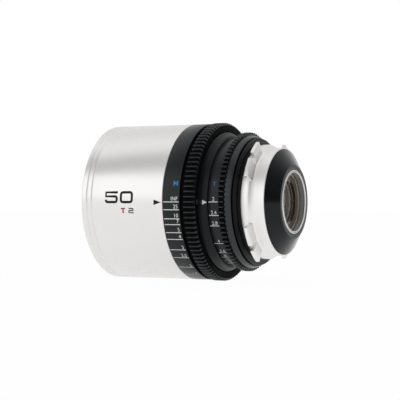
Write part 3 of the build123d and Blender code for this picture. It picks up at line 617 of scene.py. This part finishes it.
# %% Iris scale
iris_r = 32.75
iris_marks = [
    (0, "2"), (11.6, "2.4"), (20.9, "2.8"), (38.5, "4"), (50.0, "5.6"), (57.0, "8"), (63.5, "11"),
    (70.0, "16"), (78.0, "22"),
]
iris_line, iris_number = 0.34, 2.6
sheet = []
for degrees, label in iris_marks:
    height = round_way(degrees, iris_r)
    sheet.append(flat_bar(-17.8, -12.7, height, iris_line))
    sheet.append(flat_text(label, iris_number, -15.25, height + 1.35, stretch=0.98))
iris_scale = laid_round("iris_scale_marks", sheet, iris_r)
rides(iris_scale, "iris_ring_body", "ring_black")

# %% Letters above the scales
metre_letter = laid_round("metre_letter", [flat_text("M", 3.7, -32.5, 9.0, bold=0.06)], housing_r)
rides(metre_letter, "focus_ring_body", "ring_black")
stop_letter = laid_round("stop_letter", [flat_text("T", 3.1, -15.2, 8.7)], iris_r)
rides(stop_letter, "iris_ring_body", "ring_black")

# %% Pointers
housing_pointer = laid_round("housing_pointer", [flat_triangle(-44.3, -40.2, -0.2, 2.6)], housing_r)
rides(housing_pointer, "body", "housing_white")

# the index ring's pointer lies on a hollow slope, so it starts outside the ring and is pressed on it
outside_r = 36
cone_pointer = flat_triangle(-20.8, -18.55, -0.2, 2.2)
cone_pointer.name = "index_pointer"
bpy.ops.object.mode_set(mode="EDIT")
bpy.ops.mesh.select_all(action="SELECT")
bpy.ops.mesh.subdivide(number_cuts=4)
bpy.ops.object.mode_set(mode="OBJECT")
for v in cone_pointer.data.vertices:
    v.co = (v.co.x, -outside_r * MM, v.co.y)
bpy.ops.object.modifier_add(type="SHRINKWRAP")
press = cone_pointer.modifiers[-1]
press.target = index_ring
press.wrap_method = "PROJECT"
press.use_project_y = True
press.use_negative_direction = True
press.use_positive_direction = True
press.offset = MARK_LIFT * MM
bpy.ops.object.modifier_apply(modifier=press.name)
painted(cone_pointer, offset=0)
rides(cone_pointer, "body", "ring_black")

# %% [markdown]
# The numbers on the housing are wide and squared, with round corners, and no built-in font has that
# look. Each is a bent tube along the middle of its stroke, a curve with a round bevel, pressed almost
# flat before it is laid round the housing.

# %% Numbers on the housing
BEND_STEPS = 5
PRESSED = 0.05  # share of its thickness that a tube keeps


def rounded(corners, radius, closed=False):
    """A path through corners with round bends. A corner with a third value keeps its own radius."""
    found = []
    count = len(corners)
    for number, corner in enumerate(corners):
        here = Vector(corner[:2])
        bend = corner[2] if len(corner) > 2 else radius
        if not closed and number in (0, count - 1) or not bend:
            found.append(here)
            continue
        before = Vector(corners[number - 1][:2]) - here
        after = Vector(corners[(number + 1) % count][:2]) - here
        start, end = here + before.normalized() * bend, here + after.normalized() * bend
        for step in range(BEND_STEPS + 1):
            t = step / BEND_STEPS
            found.append(start * (1 - t) ** 2 + here * 2 * t * (1 - t) + end * t ** 2)
    return found


def stroke(corners, width, radius, closed=False):
    """A pressed tube along a path on the flat sheet, in millimetres, made into a mesh."""
    path = rounded(corners, radius, closed)
    line = bpy.data.curves.new("stroke", "CURVE")
    line.dimensions = "3D"
    line.fill_mode = "FULL"
    line.bevel_depth = width / 2 * MM
    line.bevel_resolution = 3
    line.use_fill_caps = True
    spline = line.splines.new("POLY")
    spline.points.add(len(path) - 1)
    for point, place in zip(spline.points, path):
        point.co = (place.x * MM, place.y * MM, 0, 1)
    spline.use_cyclic_u = closed
    made = bpy.data.objects.new("stroke", line)
    scene.collection.objects.link(made)
    bpy.ops.object.select_all(action="DESELECT")
    made.select_set(True)
    bpy.context.view_layer.objects.active = made
    bpy.ops.object.convert(target="MESH")
    bpy.ops.object.mode_set(mode="EDIT")
    bpy.ops.mesh.select_all(action="SELECT")
    bpy.ops.mesh.remove_doubles(threshold=MERGE)
    bpy.ops.object.mode_set(mode="OBJECT")
    made.scale = (1, 1, PRESSED)
    bpy.ops.object.transform_apply(location=True, rotation=True, scale=True)
    return made


top, middle, foot = 4.75, 2.75, -0.1
five = [
    (-64.6, top), (-71.3, top, 0), (-71.3, middle, 0), (-65.1, middle), (-65.1, foot),
    (-71.3, foot), (-71.3, 1.1),
]
nought = [(-62.7, top), (-56.5, top), (-56.5, foot), (-62.7, foot)]
fifty = [stroke(five, 1.25, 1.1), stroke(nought, 1.25, 1.3, closed=True)]
focal_length = laid_round("focal_length", fifty, housing_r)
rides(focal_length, "body", "housing_white")
top, middle, foot = -3.3, -4.35, -5.4
bar = stroke([(-62.8, top), (-60.3, top)], 0.65, 0)
stem = stroke([(-61.55, top), (-61.55, foot - 0.25)], 0.8, 0)
stop_name = laid_round("stop_name", [bar, stem], housing_r)
rides(stop_name, "body", "housing_white")
two = [(-58.3, top), (-55.9, top), (-55.9, middle), (-58.3, middle), (-58.3, foot, 0), (-55.6, foot)]
stop_number = laid_round("stop_number", [stroke(two, 0.62, 0.4)], housing_r)
rides(stop_number, "body", "housing_white")

# %% [markdown]
# ## Finishes
# Two effects come back in almost every finish, so each is a node group with its own inputs. One is
# the fine trail that a lathe tool leaves round a turned surface, and the other the soft, cloudy
# change in gloss that hands leave. Both read object coordinates, because the patterns belong to
# the piece and move with it.

# %% Effects that several finishes share
def new_group(name, inputs, outputs):
    """A node group with inputs of (name, value) and outputs of a name, and its two end nodes."""
    group = bpy.data.node_groups.new(name, "ShaderNodeTree")
    for label, value in inputs:
        made = group.interface.new_socket(label, in_out="INPUT", socket_type="NodeSocketFloat")
        made.default_value = value
    for label in outputs:
        group.interface.new_socket(label, in_out="OUTPUT", socket_type="NodeSocketFloat")
    return group, group.nodes.new("NodeGroupInput"), group.nodes.new("NodeGroupOutput")


lathe, lathe_in, lathe_out = new_group(
    "lathe_lines", [("Lines per metre", 4000.0), ("Uneven", 1.5)], ["Height"])
place = lathe.nodes.new("ShaderNodeTexCoord")
split = lathe.nodes.new("ShaderNodeSeparateXYZ")
count = lathe.nodes.new("ShaderNodeMath")
count.operation = "MULTIPLY"
trail = lathe.nodes.new("ShaderNodeTexNoise")
trail.noise_dimensions = "1D"
trail.inputs["Scale"].default_value = 1.0
lathe.links.new(place.outputs["Object"], split.inputs[0])
lathe.links.new(split.outputs["X"], count.inputs[0])
lathe.links.new(lathe_in.outputs["Lines per metre"], count.inputs[1])
lathe.links.new(count.outputs[0], trail.inputs["W"])
lathe.links.new(lathe_in.outputs["Uneven"], trail.inputs["Detail"])
lathe.links.new(trail.outputs["Fac"], lathe_out.inputs["Height"])

handling, handling_in, handling_out = new_group(
    "handling_marks", [("Size", 60.0), ("Low", 0.3), ("High", 0.5)], ["Roughness"])
place = handling.nodes.new("ShaderNodeTexCoord")
cloud = handling.nodes.new("ShaderNodeTexNoise")
cloud.inputs["Detail"].default_value = 4.0
spread = handling.nodes.new("ShaderNodeMapRange")
spread.inputs["From Min"].default_value = 0.3
spread.inputs["From Max"].default_value = 0.7
handling.links.new(place.outputs["Object"], cloud.inputs["Vector"])
handling.links.new(handling_in.outputs["Size"], cloud.inputs["Scale"])
handling.links.new(cloud.outputs["Fac"], spread.inputs["Value"])
handling.links.new(handling_in.outputs["Low"], spread.inputs["To Min"])
handling.links.new(handling_in.outputs["High"], spread.inputs["To Max"])
handling.links.new(spread.outputs["Result"], handling_out.inputs["Roughness"])


def place_group(tree, group, **values):
    """Puts a group in a material's tree. An underscore in a value's name stands for a space."""
    made = tree.nodes.new("ShaderNodeGroup")
    made.node_tree = group
    for label, value in values.items():
        made.inputs[label.replace("_", " ")].default_value = value
    return made


# %% [markdown]
# ## Turned finishes
# Satin paint, anodised aluminium, plated steel, brass and blade steel all cover turned metal. They
# differ in colour, in gloss and in how deep the tool trail is, so one function makes them all.

# %% Turned metal and paint
SPECK_SIZE, SPECK_DETAIL = 140.0, 6.0
GRAIN_DETAIL = 3.0
BUMP_DEEP = 0.0001


def finish(name, colour, second, metallic, low, high, shine=0.5, sheen=(1.0, 1.0, 1.0), cloud=70.0,
           lines=0.0, per_metre=4000.0, grain=0.0, grain_size=900.0):
    """A finish with two close colours, cloudy gloss, a lathe trail and a grain, each in its strength.
    low and high bound the roughness, shine is how much it mirrors, and sheen tints what it mirrors."""
    material = bpy.data.materials.new(name)
    material.use_nodes = True
    tree = material.node_tree
    shader = tree.nodes["Principled BSDF"]
    shader.inputs["Metallic"].default_value = metallic
    shader.inputs["Specular IOR Level"].default_value = shine
    shader.inputs["Specular Tint"].default_value = (*sheen, 1)
    gloss = place_group(tree, handling, Size=cloud, Low=low, High=high)
    tree.links.new(gloss.outputs["Roughness"], shader.inputs["Roughness"])
    spot = tree.nodes.new("ShaderNodeTexCoord")
    speck = tree.nodes.new("ShaderNodeTexNoise")
    speck.inputs["Scale"].default_value = SPECK_SIZE
    speck.inputs["Detail"].default_value = SPECK_DETAIL
    tree.links.new(spot.outputs["Object"], speck.inputs["Vector"])
    mix = tree.nodes.new("ShaderNodeMix")
    mix.data_type = "RGBA"
    mix.inputs["A"].default_value = (*colour, 1)
    mix.inputs["B"].default_value = (*second, 1)
    tree.links.new(speck.outputs["Fac"], mix.inputs["Factor"])
    tree.links.new(mix.outputs["Result"], shader.inputs["Base Color"])
    normal = None
    if grain:
        fine = tree.nodes.new("ShaderNodeTexNoise")
        fine.inputs["Scale"].default_value = grain_size
        fine.inputs["Detail"].default_value = GRAIN_DETAIL
        tree.links.new(spot.outputs["Object"], fine.inputs["Vector"])
        bump = tree.nodes.new("ShaderNodeBump")
        bump.inputs["Strength"].default_value = grain
        bump.inputs["Distance"].default_value = BUMP_DEEP
        tree.links.new(fine.outputs["Fac"], bump.inputs["Height"])
        normal = bump.outputs["Normal"]
    if lines:
        trail = place_group(tree, lathe, Lines_per_metre=per_metre)
        bump = tree.nodes.new("ShaderNodeBump")
        bump.inputs["Strength"].default_value = lines
        bump.inputs["Distance"].default_value = BUMP_DEEP
        tree.links.new(trail.outputs["Height"], bump.inputs["Height"])
        if normal:
            tree.links.new(normal, bump.inputs["Normal"])
        normal = bump.outputs["Normal"]
    if normal:
        tree.links.new(normal, shader.inputs["Normal"])
    return material


finishes = {
    "housing_white": finish("satin_white_housing", (0.85, 0.833, 0.825), (0.87, 0.853, 0.845), 0.7,
                            0.23, 0.27, cloud=18.0, grain=0.003, grain_size=2500.0),
    "ring_black": finish("black_anodised", (0.0062, 0.0072, 0.0078), (0.0100, 0.0112, 0.0122), 0.0,
                         0.28, 0.36, shine=0.30, sheen=(0.89, 0.98, 1.0), lines=0.10, grain=0.06),
    "inner_black": finish("matt_black", (0.004, 0.0042, 0.0046), (0.007, 0.0072, 0.0076), 0.0,
                          0.28, 0.36, shine=0.20, sheen=(0.86, 0.97, 1.0), lines=0.06, grain=0.05),
    "mount_silver": finish("plated_steel", (0.85, 0.835, 0.83), (0.89, 0.875, 0.865), 1.0,
                           0.35, 0.45, lines=0.05, per_metre=6000.0),
    "steel": finish("screw_steel", (0.50, 0.50, 0.52), (0.60, 0.60, 0.62), 1.0, 0.25, 0.4, lines=0.1),
    "blade_steel": finish("blued_blade_steel", (0.03, 0.032, 0.036), (0.05, 0.052, 0.058), 0.7,
                          0.35, 0.5, grain=0.1),
    "pin_brass": finish("pin_brass", (0.72, 0.53, 0.25), (0.80, 0.60, 0.30), 1.0, 0.25, 0.4, lines=0.1),
}

# finishes that the part's own slots don't know, for single pieces and for some of their faces
gear_black = finish("gear_black_anodised", (0.004, 0.0045, 0.005), (0.008, 0.0085, 0.009), 0.0,
                    0.20, 0.30, shine=0.36, sheen=(0.86, 0.97, 1.0), lines=0.05, grain=0.04)
brushed_black = finish("brushed_black", (0.010, 0.0115, 0.0125), (0.016, 0.018, 0.0195), 0.0,
                       0.22, 0.32, shine=0.48, sheen=(0.92, 0.98, 1.0), lines=0.3, per_metre=3500.0)
# a near-black: the lens's black paint inside, and painted shade on the low faces of grooves and gear
# gaps
black_paint_and_painted_shade = finish("black_paint_and_painted_shade", (0.0015, 0.0016, 0.0018), (0.003, 0.0032, 0.0034), 0.0,
                    0.6, 0.75, shine=0.06)
neck_black = finish("neck_black", (0.003, 0.0033, 0.0036), (0.005, 0.0054, 0.006), 0.0,
                    0.30, 0.40, shine=0.11, lines=0.06, grain=0.05)
cone_black = finish("cone_black", (0.0040, 0.0050, 0.0057), (0.0052, 0.0063, 0.0071), 0.0,
                    0.12, 0.16, shine=0.22, sheen=(0.90, 0.98, 1.0), lines=0.02, grain=0.02)
# a darker steel: painted shade in the bright ring's thread and in the cut between its lips
painted_shade_steel = finish("steel_with_painted_shade", (0.24, 0.24, 0.24), (0.36, 0.36, 0.355), 0.35, 0.34, 0.46,
                    lines=0.3, per_metre=3000.0)
# a bright bronze: painted highlight on the faces that look out of the rear mouth
painted_highlight_bronze = finish("steel_painted_highlight", (0.80, 0.75, 0.66), (0.90, 0.86, 0.78), 0.6, 0.22, 0.32,
                 lines=0.3, per_metre=3000.0)
brown_black = finish("browned_steel", (0.13, 0.112, 0.084), (0.20, 0.176, 0.136), 0.3, 0.32, 0.46,
                     lines=0.2, per_metre=3000.0)

# %% [markdown]
# ## Paint of the marks
# Engraving paint is matt and lies a little unevenly in the cut, so each colour has a soft noise.

# %% Paint of the marks
inks = {
    "white": finish("white_fill", (0.84, 0.84, 0.83), (0.91, 0.91, 0.90), 0.0, 0.45, 0.6, shine=0.4),
    "dark": finish("dark_fill", (0.005, 0.006, 0.007), (0.009, 0.010, 0.011), 0.0, 0.4, 0.55, shine=0.2),
    "grey": finish("grey_fill", (0.055, 0.057, 0.06), (0.075, 0.077, 0.08), 0.0, 0.45, 0.6, shine=0.3),
    "red": finish("red_fill", (0.42, 0.035, 0.045), (0.50, 0.05, 0.06), 0.0, 0.45, 0.6, shine=0.3),
    "blue": finish("blue_fill", (0.035, 0.19, 0.45), (0.05, 0.23, 0.52), 0.0, 0.45, 0.6, shine=0.3),
}

# %% [markdown]
# ## Coated glass
# A lens element reflects little, and what it reflects is tinted by its coating. The shader is clear and
# its specular tint colours the reflections. The index of refraction is well below that of real glass,
# which keeps the reflections as weak as a coating does.

# %% Coated glass
GLASS_CLOUD = 30.0
SMEAR_SIZE, SMEAR_ROUGH = 40.0, 0.003


def coated(name, tint, low, high, bend):
    """Clear glass whose coating gives reflections a tint. low and high are two close body colours, and
    bend is the index of refraction."""
    material = bpy.data.materials.new(name)
    material.use_nodes = True
    tree = material.node_tree
    shader = tree.nodes["Principled BSDF"]
    shader.inputs["Transmission Weight"].default_value = 1.0
    shader.inputs["IOR"].default_value = bend
    shader.inputs["Specular Tint"].default_value = (*tint, 1)
    smear = place_group(tree, handling, Size=SMEAR_SIZE, Low=0.0, High=SMEAR_ROUGH)
    tree.links.new(smear.outputs["Roughness"], shader.inputs["Roughness"])
    spot = tree.nodes.new("ShaderNodeTexCoord")
    cloud = tree.nodes.new("ShaderNodeTexNoise")
    cloud.inputs["Scale"].default_value = GLASS_CLOUD
    mix = tree.nodes.new("ShaderNodeMix")
    mix.data_type = "RGBA"
    mix.inputs["A"].default_value = (*low, 1)
    mix.inputs["B"].default_value = (*high, 1)
    tree.links.new(spot.outputs["Object"], cloud.inputs["Vector"])
    tree.links.new(cloud.outputs["Fac"], mix.inputs["Factor"])
    tree.links.new(mix.outputs["Result"], shader.inputs["Base Color"])
    return material


finishes["coated_glass"] = coated("coated_optical_glass", tint=(0.30, 0.24, 0.16),
                                  low=(0.90, 0.87, 0.80), high=(0.94, 0.92, 0.87), bend=1.17)
front_coating = coated("front_coated_glass", tint=(0.20, 0.22, 0.50),
                       low=(0.84, 0.84, 0.88), high=(0.88, 0.88, 0.92), bend=1.26)
inner_glass = coated("inner_optical_glass", tint=(0.10, 0.20, 0.13),
                     low=(0.66, 0.66, 0.68), high=(0.72, 0.72, 0.74), bend=1.17)

# %% Put every finish in its place
def coat_piece(piece, material):
    """Gives a piece this one finish."""
    piece.data.materials.clear()
    piece.data.materials.append(material)


slot_of_node = {row["node"]: row["material_slot"] for row in frame["record"]["subparts"]}
for name, node in nodes.items():
    coat_piece(node, finishes[slot_of_node[name]])
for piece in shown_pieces():
    if "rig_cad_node" not in piece:
        coat_piece(piece, finishes[piece["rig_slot"]])
for piece in (focus_scale, iris_scale, cone_pointer):
    coat_piece(piece, inks["white"])
for piece in (metre_letter, stop_letter):
    coat_piece(piece, inks["blue"])
for piece in (focal_length, housing_pointer):
    coat_piece(piece, inks["dark"])
coat_piece(stop_number, inks["grey"])
coat_piece(stop_name, inks["red"])
coat_piece(barrel, neck_black)
coat_piece(index_ring, finishes["inner_black"])
coat_piece(stepped_spacer, brown_black)
coat_piece(cone, cone_black)
coat_piece(front_glass, front_coating)
for element in inner_glasses:
    coat_piece(element, inner_glass)
for piece in (focus_gear, iris_gear):
    coat_piece(piece, gear_black)
# what stands between the glasses is painted against stray light
for name in ("front_cell", "front_spacer", "core_barrel", "focus_carrier", "carrier_retainer",
             "carrier_spacer", "iris_rotor", "iris_base_plate", "iris_cover_ring"):
    coat_piece(nodes[name], black_paint_and_painted_shade)

# %% [markdown]
# A deep gap looks black because light goes in and doesn't come out. The grooves and the gaps between
# teeth get painted shade, a second, darker black on the faces that lie low, picked by how far they are
# from the axis.
# In the rear mouth the faces that look out of it get a painted highlight, a brighter bronze than the
# faces along the bore.

# %% Second finishes, face by face
def coat_faces(piece, material, picks):
    """Gives a piece one more finish on the faces that picks(x, radius, facing) says. x and radius are in
    millimetres, and facing is 1 for a face square to the axis and 0 for one along it."""
    piece.data.materials.append(material)
    added = len(piece.data.materials) - 1
    changed = 0
    for face in piece.data.polygons:
        reach = sqrt(face.center.y ** 2 + face.center.z ** 2)
        if picks(face.center.x / MM, reach / MM, abs(face.normal.x)):
            face.material_index = added
            changed += 1
    print(piece.name, "one more finish on", changed, "faces")


SQUARE = 0.4  # a face with more than this looks along the axis
focus_shade_below, iris_shade_below, groove_shade_below = 38.95, 33.75, 39.7  # faces under these radii lie low
land_from = -9.0  # x where the plain land behind the iris gear begins
# painted shade: the low faces between the teeth and in the focus ring's groove get the darker black
coat_faces(focus_gear, black_paint_and_painted_shade, lambda x, r, f: r < focus_shade_below)
coat_faces(iris_gear, black_paint_and_painted_shade, lambda x, r, f: r < iris_shade_below and x < -9.2)
coat_faces(iris_gear, brushed_black, lambda x, r, f: x > land_from)
coat_faces(focus_sleeve, black_paint_and_painted_shade, lambda x, r, f: x > -30.2 and r < groove_shade_below)

# painted shade, a darker steel, on the bright ring's thread and in the cut between its two lips
coat_faces(bright_ring, painted_shade_steel,
           lambda x, r, f: (r < 15.0 and x < 13.7) or (x > 13.5 and 15.16 < r < 15.5))

# the cell is black inside and brown at its mouth, and the step round the last glass gets a painted
# highlight, a bright bronze
coat_faces(cell, black_paint_and_painted_shade, lambda x, r, f: x < 9.0 and r < 14.6)
coat_faces(cell, brown_black, lambda x, r, f: x > 9.0 and r < 15.5)
coat_faces(cell, painted_highlight_bronze, lambda x, r, f: x > 10.3 and r < 14.65 and f > SQUARE)
# the faces of the spacer's steps that look out of the bore get the same painted highlight
coat_faces(stepped_spacer, painted_highlight_bronze, lambda x, r, f: f > SQUARE)

# %% [markdown]
# ## Studio
# The lens stands in a white studio: a pale floor just under it, a pale tent of sky round it, and one
# soft lamp. Where the floor is seen, mirrored or looked at through glass it glows white, apart from a
# small share of plain paint, which catches the lens's shadow.

# %% Floor
floor_z = -0.0405
floor_size = 6
floor_white = (0.85, 0.85, 0.85, 1)
glow_share = 0.97
bpy.ops.mesh.primitive_plane_add(size=floor_size, location=(0, 0, floor_z))
floor = bpy.context.object
floor.name = "studio_floor"
floor_paint = bpy.data.materials.new("studio_floor_white")
floor_paint.use_nodes = True
tree = floor_paint.node_tree
shader = tree.nodes["Principled BSDF"]
shader.inputs["Base Color"].default_value = floor_white
shader.inputs["Roughness"].default_value = 0.9
glow = tree.nodes.new("ShaderNodeEmission")
glow.inputs["Strength"].default_value = 1.0
ray = tree.nodes.new("ShaderNodeLightPath")
seen_or_mirrored = tree.nodes.new("ShaderNodeMath")
seen_or_mirrored.operation = "MAXIMUM"
or_through_glass = tree.nodes.new("ShaderNodeMath")
or_through_glass.operation = "MAXIMUM"
glowing = tree.nodes.new("ShaderNodeMath")
glowing.operation = "MULTIPLY"
glowing.inputs[1].default_value = glow_share
blend = tree.nodes.new("ShaderNodeMixShader")
tree.links.new(ray.outputs["Is Camera Ray"], seen_or_mirrored.inputs[0])
tree.links.new(ray.outputs["Is Glossy Ray"], seen_or_mirrored.inputs[1])
tree.links.new(seen_or_mirrored.outputs[0], or_through_glass.inputs[0])
tree.links.new(ray.outputs["Is Transmission Ray"], or_through_glass.inputs[1])
tree.links.new(or_through_glass.outputs[0], glowing.inputs[0])
tree.links.new(glowing.outputs[0], blend.inputs[0])
tree.links.new(shader.outputs[0], blend.inputs[1])
tree.links.new(glow.outputs[0], blend.inputs[2])
tree.links.new(blend.outputs[0], tree.nodes["Material Output"].inputs["Surface"])
floor.data.materials.append(floor_paint)

# %% [markdown]
# The sky of the studio is a light tent made of strips that run along the lens. A polished cylinder
# shows such strips as long straight bands. The strips are a ramp over the angle round the X axis: 0
# degrees is the side with the scales, 90 the top and -90 the underside. Towards the mount's end of the
# axis the tent gets darker, so that the rear cone stays black. The camera itself sees plain white.

# %% World
world = bpy.data.worlds.new("studio_world")
scene.world = world
world.use_nodes = True
tree = world.node_tree
soft = tree.nodes["Background"]
white = tree.nodes.new("ShaderNodeBackground")
white.inputs["Color"].default_value = (1, 1, 1, 1)
white.inputs["Strength"].default_value = 1.0
ray = tree.nodes.new("ShaderNodeLightPath")
pick = tree.nodes.new("ShaderNodeMixShader")
sky = tree.nodes.new("ShaderNodeTexCoord")
split = tree.nodes.new("ShaderNodeSeparateXYZ")
front = tree.nodes.new("ShaderNodeMath")
front.operation = "MULTIPLY"
front.inputs[1].default_value = -1.0
around = tree.nodes.new("ShaderNodeMath")
around.operation = "ARCTAN2"
share = tree.nodes.new("ShaderNodeMapRange")
share.inputs["From Min"].default_value = -pi
share.inputs["From Max"].default_value = pi
strips = tree.nodes.new("ShaderNodeValToRGB")
tree.links.new(sky.outputs["Generated"], split.inputs[0])
tree.links.new(split.outputs["Y"], front.inputs[0])
tree.links.new(split.outputs["Z"], around.inputs[0])
tree.links.new(front.outputs[0], around.inputs[1])
tree.links.new(around.outputs[0], share.inputs["Value"])
tree.links.new(share.outputs["Result"], strips.inputs["Fac"])
levels = [
    (-180, 1.0), (0, 1.0), (40, 1.0), (53, 0.45), (67, 0.47), (77, 0.81), (86, 0.95), (97, 0.97),
    (110, 0.86), (126, 0.77), (180, 0.88),
]
ramp = strips.color_ramp
while len(ramp.elements) < len(levels):
    ramp.elements.new(0.5)
# all stops are moved before any gets its colour, in case the ramp sorts them
for element, (degrees, _) in zip(ramp.elements, levels):
    element.position = (degrees + 180) / 360
for element, (_, level) in zip(ramp.elements, levels):
    element.color = (level, level, level, 1)
dark_from, dark_to, dark_level = 0.50, 0.95, 0.22
rear_side = tree.nodes.new("ShaderNodeMapRange")
rear_side.interpolation_type = "SMOOTHSTEP"
rear_side.inputs["From Min"].default_value = dark_from
rear_side.inputs["From Max"].default_value = dark_to
rear_side.inputs["To Min"].default_value = 1.0
rear_side.inputs["To Max"].default_value = dark_level
dimmed = tree.nodes.new("ShaderNodeMix")
dimmed.data_type = "RGBA"
dimmed.blend_type = "MULTIPLY"
dimmed.inputs["Factor"].default_value = 1.0
tree.links.new(split.outputs["X"], rear_side.inputs["Value"])
tree.links.new(strips.outputs["Color"], dimmed.inputs["A"])
tree.links.new(rear_side.outputs["Result"], dimmed.inputs["B"])
tree.links.new(dimmed.outputs["Result"], soft.inputs["Color"])
tree.links.new(ray.outputs["Is Camera Ray"], pick.inputs[0])
tree.links.new(soft.outputs[0], pick.inputs[1])
tree.links.new(white.outputs[0], pick.inputs[2])
tree.links.new(pick.outputs[0], tree.nodes["World Output"].inputs["Surface"])

# %% Lamp
lamp_place = (-0.50, -0.90, 0.35)
lamp_aim = (-0.04, 0, 0)
bpy.ops.object.light_add(type="AREA", location=lamp_place)
lamp = bpy.context.object
lamp.name = "front_lamp"
lamp.data.shape = "RECTANGLE"
lamp.data.size = 1.0
lamp.data.size_y = 0.55
lamp.data.energy = 0.5
way = Vector(lamp_aim) - Vector(lamp_place)
lamp.rotation_euler = way.to_track_quat("-Z", "Y").to_euler()

# %% Finish
scene.view_settings.view_transform = "Standard"
